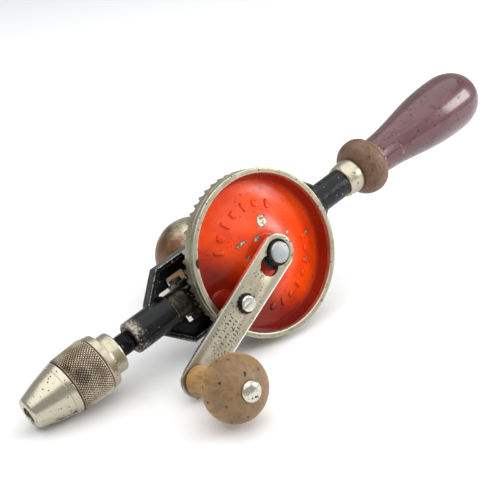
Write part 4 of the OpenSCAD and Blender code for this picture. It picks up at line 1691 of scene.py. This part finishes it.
@dataclass
class Chuck:
    """The nose, the knurled sleeve, the collar, the jaws and the spindle."""

    collar_back: float = 89.6
    collar_front: float = 101.1
    collar_waist: float = 10.6
    collar_flange: float = 14.4
    sleeve_back: float = SLEEVE_BACK
    sleeve_front: float = SLEEVE_FRONT
    sleeve_rear_radius: float = SLEEVE_REAR_RADIUS
    sleeve_front_radius: float = SLEEVE_FRONT_RADIUS
    sleeve_bore: float = 12.6
    nose_back: float = 119.3
    nose_front: float = 140.6
    nose_radius: float = 14.0
    mouth_radius: float = 4.0
    core: float = 12.5
    neck: float = 9.0
    nut_back: float = 107.6
    nut_front: float = 114.4
    thread_bore: float = 5.52
    thread_end: float = 103.1
    jaw_tip: float = 139.0
    jaw_tip_radius: float = 2.6
    jaw_angle: float = 10.0
    jaw_bore: float = 2.25
    rod_radius: float = 4.75
    rod_back: float = 13.0
    rod_front: float = 103.0
    screw_radius: float = 5.0
    screw_back: float = 81.2
    screw_front: float = 90.5
    thread_pitch: float = 1.15
    thread_steps: int = 64
    knurl_around: int = 62
    knurl_rows: int = 18
    knurl_height: float = KNURL_HEIGHT
    knurl_margin: float = 1.1
    # A diamond's heights over the sleeve, and its breadth there; the last is its point
    knurl_levels: tuple[Point, ...] = ((-0.1, 1.0), (0.0, 0.97), (KNURL_HEIGHT, 0.18))

    def bores(self) -> bmesh.types.BMesh:
        """Makes the three rods that the jaws' bores are cut with.

        Returns:
            The rods as one mesh.
        """
        rods = bmesh.new()
        lean = Matrix.Rotation(math.radians(-self.jaw_angle), 4, "Y")
        tip = Matrix.Translation((self.jaw_tip_radius, 0, self.jaw_tip))
        line = tip @ lean @ Matrix.Translation((0, 0, -14))
        for i in range(3):
            turn = Matrix.Rotation(math.radians(120 * i + 90), 4, "Z")
            bmesh.ops.create_cone(
                rods,
                cap_ends=True,
                segments=48,
                radius1=self.jaw_bore,
                radius2=self.jaw_bore,
                depth=52,
                matrix=turn @ line,
            )
        return rods

    def body(self) -> None:
        """Turns the chuck's body and drills the bores of the jaws."""
        back, front = self.nose_back, self.nose_front
        outline = [
            (self.thread_bore, self.collar_back),
            (self.neck, self.collar_back),
            (self.neck, self.collar_front),
            (self.core, self.collar_front),
            (self.core, self.nut_back),
            (self.neck, self.nut_back),
            (self.neck, self.nut_front),
            (self.core, self.nut_front),
            (self.core, back),
            (self.nose_radius, back, 0.35),
            (13.8, back + 1.5, 0.8),
            (13.35, back + 3.2),
            (13.1, back + 3.4),
            (13.1, back + 3.55),
            (13.24, back + 3.65),
            (10.8, front - 8.5, 2.5),
            (8.1, front - 0.8, 0.4),
            (7.3, front, 0.4),
            (self.mouth_radius, front, 0.3),
            (self.mouth_radius, self.thread_end),
            (self.thread_bore, self.thread_end),
        ]
        turned = Mould.laid("body", Mould.cast("body", Mould.turned(Mould.rounded(outline), 144)))
        rods = Mould.laid("rods", Mould.cast("rods", self.bores()))
        cut = turned.modifiers.new("bores", "BOOLEAN")
        cut.operation, cut.solver, cut.object = "DIFFERENCE", "EXACT", rods
        cut.use_self = True
        result = Mould.finished(turned, rods)
        Mould.piece("chuck_nose", result, "spindle", NOSE, ["chuck_body"], Lie.AHEAD.matrix(), 35.0)

    def sleeve(self) -> None:
        """Turns the sleeve below its knurl."""
        deep, margin = self.knurl_height, self.knurl_margin
        back, front = self.sleeve_back, self.sleeve_front
        outline = [
            (self.sleeve_bore, back),
            (self.sleeve_rear_radius - 0.7, back, 0.2),
            (self.sleeve_rear_radius - 0.15, back + 0.7, 0.2),
            (self.sleeve_rear_radius - deep, back + margin),
            (self.sleeve_front_radius - deep, front - margin),
            (self.sleeve_front_radius - 0.15, front - 0.8, 0.2),
            (self.sleeve_front_radius - 0.5, front, 0.2),
            (self.sleeve_bore, front),
        ]
        mesh = Mould.turned(Mould.rounded(outline))
        Mould.piece("chuck_sleeve_turned", mesh, "sleeve", KNURL, ["chuck_sleeve"], Lie.AHEAD.matrix())

    def knurl(self) -> None:
        """Raises the diamond knurl on the sleeve."""
        sunk = self.knurl_height + 0.02
        length = self.sleeve_front - self.sleeve_back - 2 * self.knurl_margin
        sizes = {
            "Around": self.knurl_around,
            "Rows": self.knurl_rows,
            "Rear radius": self.sleeve_rear_radius - sunk,
            "Front radius": self.sleeve_front_radius - sunk,
            "Start": self.sleeve_back + self.knurl_margin,
            "Length": length,
        }
        grower = Grower("diamond_knurl", sizes)
        around, rows, rear, ahead, start, reach = (grower.size(key) for key in sizes)
        points = grower.add("GeometryNodePoints", None, {"Count": around * rows})
        index = grower.index()
        # The small addition keeps a whole number from being rounded down to the one below
        row = ((index + 0.01) / around).floor()
        angle = (index - row * around + (row % 2.0) * 0.5) / around * math.tau
        part = (row + 0.5) / rows
        radius = part * (ahead - rear) + rear
        place = grower.add(
            "ShaderNodeCombineXYZ",
            None,
            {"X": radius * angle.cosine(), "Y": radius * angle.wave(), "Z": part * reach + start},
        )
        inputs = {"Geometry": points.outputs[0], "Position": place.outputs[0]}
        moved = grower.add("GeometryNodeSetPosition", None, inputs)
        long, wide = length / self.knurl_rows, math.pi * self.sleeve_rear_radius / self.knurl_around
        corners = [(long, 0.0), (0.0, wide), (-long, 0.0), (0.0, -wide)]
        unit = prism([(z, [(x * q, y * q) for x, y in corners]) for z, q in self.knurl_levels])
        mesh = grower.grow(grower.repeated(moved.outputs[0], angle, math.pi / 2), KNURL, unit)
        lie = Lie.AHEAD.matrix()
        Mould.piece("chuck_sleeve_knurl", mesh, "sleeve", KNURL, ["chuck_sleeve"], lie, 20.0)

    def collar(self) -> None:
        """Turns the flanged collar behind the sleeve."""
        bore, waist = self.neck + 0.02, self.collar_waist
        back, front = self.collar_back, self.collar_front
        sweep = [(10.7, front - 5.2), (11.0, front - 4.2), (12.4, front - 4.0), (13.9, front - 3.9)]
        outline = [(bore, front), (bore, back), (waist, back, 1.3), (waist, front - 6.5)]
        outline += Mould.curve(*sweep, 10)
        outline += [(self.collar_flange, front - 0.6, 0.5), (self.collar_flange - 0.3, front, 0.2)]
        mesh = Mould.turned(Mould.rounded(outline))
        Mould.piece("chuck_collar_flanged", mesh, "spindle", NICKEL, ["chuck_collar"], Lie.AHEAD.matrix())

    def spindle(self) -> None:
        """Turns the spindle."""
        outline = [
            (0.0, self.rod_back),
            (self.rod_radius, self.rod_back),
            (self.rod_radius, self.screw_back - 0.8),
            (self.rod_radius, self.screw_back - 0.4),
            (self.screw_radius, self.screw_back),
            (self.screw_radius, self.rod_front),
            (0.0, self.rod_front),
        ]
        mesh = Mould.turned(outline, 96, False)
        Mould.piece("spindle_rod", mesh, "spindle", DARK, ["spindle"], Lie.AHEAD.matrix())

    def thread(self) -> None:
        """Winds the thread that the chuck is screwed on."""
        length = self.screw_front - self.screw_back
        sizes = {
            "Turns": length / self.thread_pitch,
            "Radius": self.screw_radius - 0.02,
            "Length": length,
            "Half width": self.thread_pitch * 0.46,
        }
        grower = Grower("chuck_thread", sizes)
        turns, radius, reach, half = (grower.size(key) for key in sizes)
        line = grower.add(
            "GeometryNodeCurveSpiral",
            None,
            {
                "Resolution": self.thread_steps,
                "Rotations": turns,
                "Start Radius": radius,
                "End Radius": radius,
                "Height": reach,
            },
        )
        ring = grower.add(
            "GeometryNodeCurvePrimitiveCircle", {"mode": "RADIUS"}, {"Resolution": 6, "Radius": half}
        )
        inputs = {"Curve": line.outputs[0], "Profile Curve": ring.outputs[0], "Fill Caps": True}
        wound = grower.add("GeometryNodeCurveToMesh", None, inputs)
        mesh = grower.grow(wound.outputs[0], DARK)
        lie = Lie.AHEAD.matrix() @ Matrix.Translation((0, 0, self.screw_back))
        Mould.piece("spindle_thread", mesh, "spindle", DARK, ["spindle"], lie, 20.0)

    def jaws(self) -> None:
        """Dresses the three jaws."""
        for jaw in ("jaw_1", "jaw_2", "jaw_3"):
            Mould.piece(f"{jaw}_ground", Mould.copied(jaw, 0.12), jaw, STEEL, [jaw])

    def build(self) -> None:
        """Builds the whole chuck."""
        self.body()
        self.sleeve()
        self.knurl()
        self.collar()
        self.spindle()
        self.thread()
        self.jaws()


@dataclass
class Works:
    """The small parts inside, which keep their CAD shape."""

    steel: tuple[str, ...] = ("thrust_race", "side_knob_stud", "pinion_pin", "thrust_balls", "jaw_nut")
    bronze: tuple[str, ...] = ("rear_bush", "front_washer", "hub_bush", "ball_cage")

    def build(self) -> None:
        """Gives each inner part its finish, and softens the pinion, which shows beside the wheel."""
        Mould.piece("pinion_cut", Mould.copied("pinion", 0.1), "spindle", GEAR, ["pinion"])
        for nodes, finish in ((self.steel, STEEL), (self.bronze, BRONZE)):
            for node in nodes:
                data = frame["nodes"][node].data
                data.materials.clear()
                data.materials.append(finish.material())
                LOG.info("%s: finished as %s", node, finish.name)


@dataclass(frozen=True)
class Lamp:
    """A square soft light: its place and width in metres, and its power in watts."""

    name: str
    place: Triple
    width: float
    power: float


@dataclass
class Studio:
    """The pale bench, the soft lights and the camera, whose eye and axes are the tool's."""

    lens: float = 64.8
    sensor: float = 36.0
    near: float = 0.01
    eye: Triple = (-224.9, -401.9, 132.0)
    right: Triple = (0.706, -0.548, -0.449)
    up: Triple = (0.526, -0.019, 0.851)
    aim: Triple = (20.0, 0.0, 0.0)
    lamps: tuple[Lamp, ...] = (
        Lamp("overhead", (0.1, -0.1, 1.8), 3.2, 46.0),
        Lamp("right_window", (0.95, -0.68, 0.47), 0.45, 7.0),
    )
    sky: tuple[float, ...] = (0.97, 0.985, 1.0, 1.0)
    sky_strength: float = 0.5
    bench_colour: tuple[float, ...] = (0.93, 0.93, 0.93, 1.0)
    bench_size: float = 15.0
    bench_gap: float = 0.0002

    def bench(self) -> None:
        """Lays the pale floor under the drill."""
        mesh = bmesh.new()
        bmesh.ops.create_grid(mesh, x_segments=1, y_segments=1, size=self.bench_size)
        data = Mould.cast("bench", mesh)
        data.transform(Matrix.Translation((0, 0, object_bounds()[0][2] - self.bench_gap)))
        material = bpy.data.materials.new("bench_white")
        even = {"Base Color": self.bench_colour, "Roughness": 0.9, "Specular IOR Level": 0.1}
        Surface(material).close({}, even)
        data.materials.append(material)
        Mould.laid("bench", data)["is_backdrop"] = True

    def lights(self) -> None:
        """Hangs the soft lights."""
        target = TOOL.point(*self.aim)
        for lamp in self.lamps:
            light = bpy.data.lights.new(lamp.name, "AREA")
            light.shape, light.size, light.energy = "SQUARE", lamp.width, lamp.power
            obj = Mould.laid(lamp.name, light)
            obj.location = lamp.place
            obj.rotation_euler = (Vector(lamp.place) - target).to_track_quat("Z", "Y").to_euler()
        world = bpy.data.worlds.new("soft_room")
        world.use_nodes = True
        tree = Tree(world.node_tree)
        shade = tree.add("ShaderNodeBackground", None, {"Color": self.sky, "Strength": self.sky_strength})
        tree.add("ShaderNodeOutputWorld", None, {0: shade.outputs[0]})
        bpy.context.scene.world = world

    def camera(self) -> None:
        """Sets the camera."""
        right, up = TOOL.heading(*self.right), TOOL.heading(*self.up)
        back = right.cross(up).normalized()
        turn = Matrix((right, back.cross(right), back)).transposed().to_4x4()
        camera = bpy.data.cameras.new("view")
        camera.lens, camera.sensor_width, camera.clip_start = self.lens, self.sensor, self.near
        obj = Mould.laid("view", camera)
        obj.matrix_world = Matrix.Translation(TOOL.point(*self.eye)) @ turn
        bpy.context.scene.camera = obj
        bpy.context.scene.view_settings.view_transform = "Standard"

    def build(self) -> None:
        """Sets up the whole studio."""
        self.bench()
        self.lights()
        self.camera()


def main() -> None:
    """Builds the drill, its finishes and the studio."""
    logging.basicConfig(level=logging.INFO, format="%(name)s %(message)s")
    for part in (DriveWheel(), Crank(), Frame(), MainHandle(), Chuck(), Works(), Studio()):
        LOG.info("building %s", type(part).__name__)
        part.build()


if __name__ == "__main__":
    main()
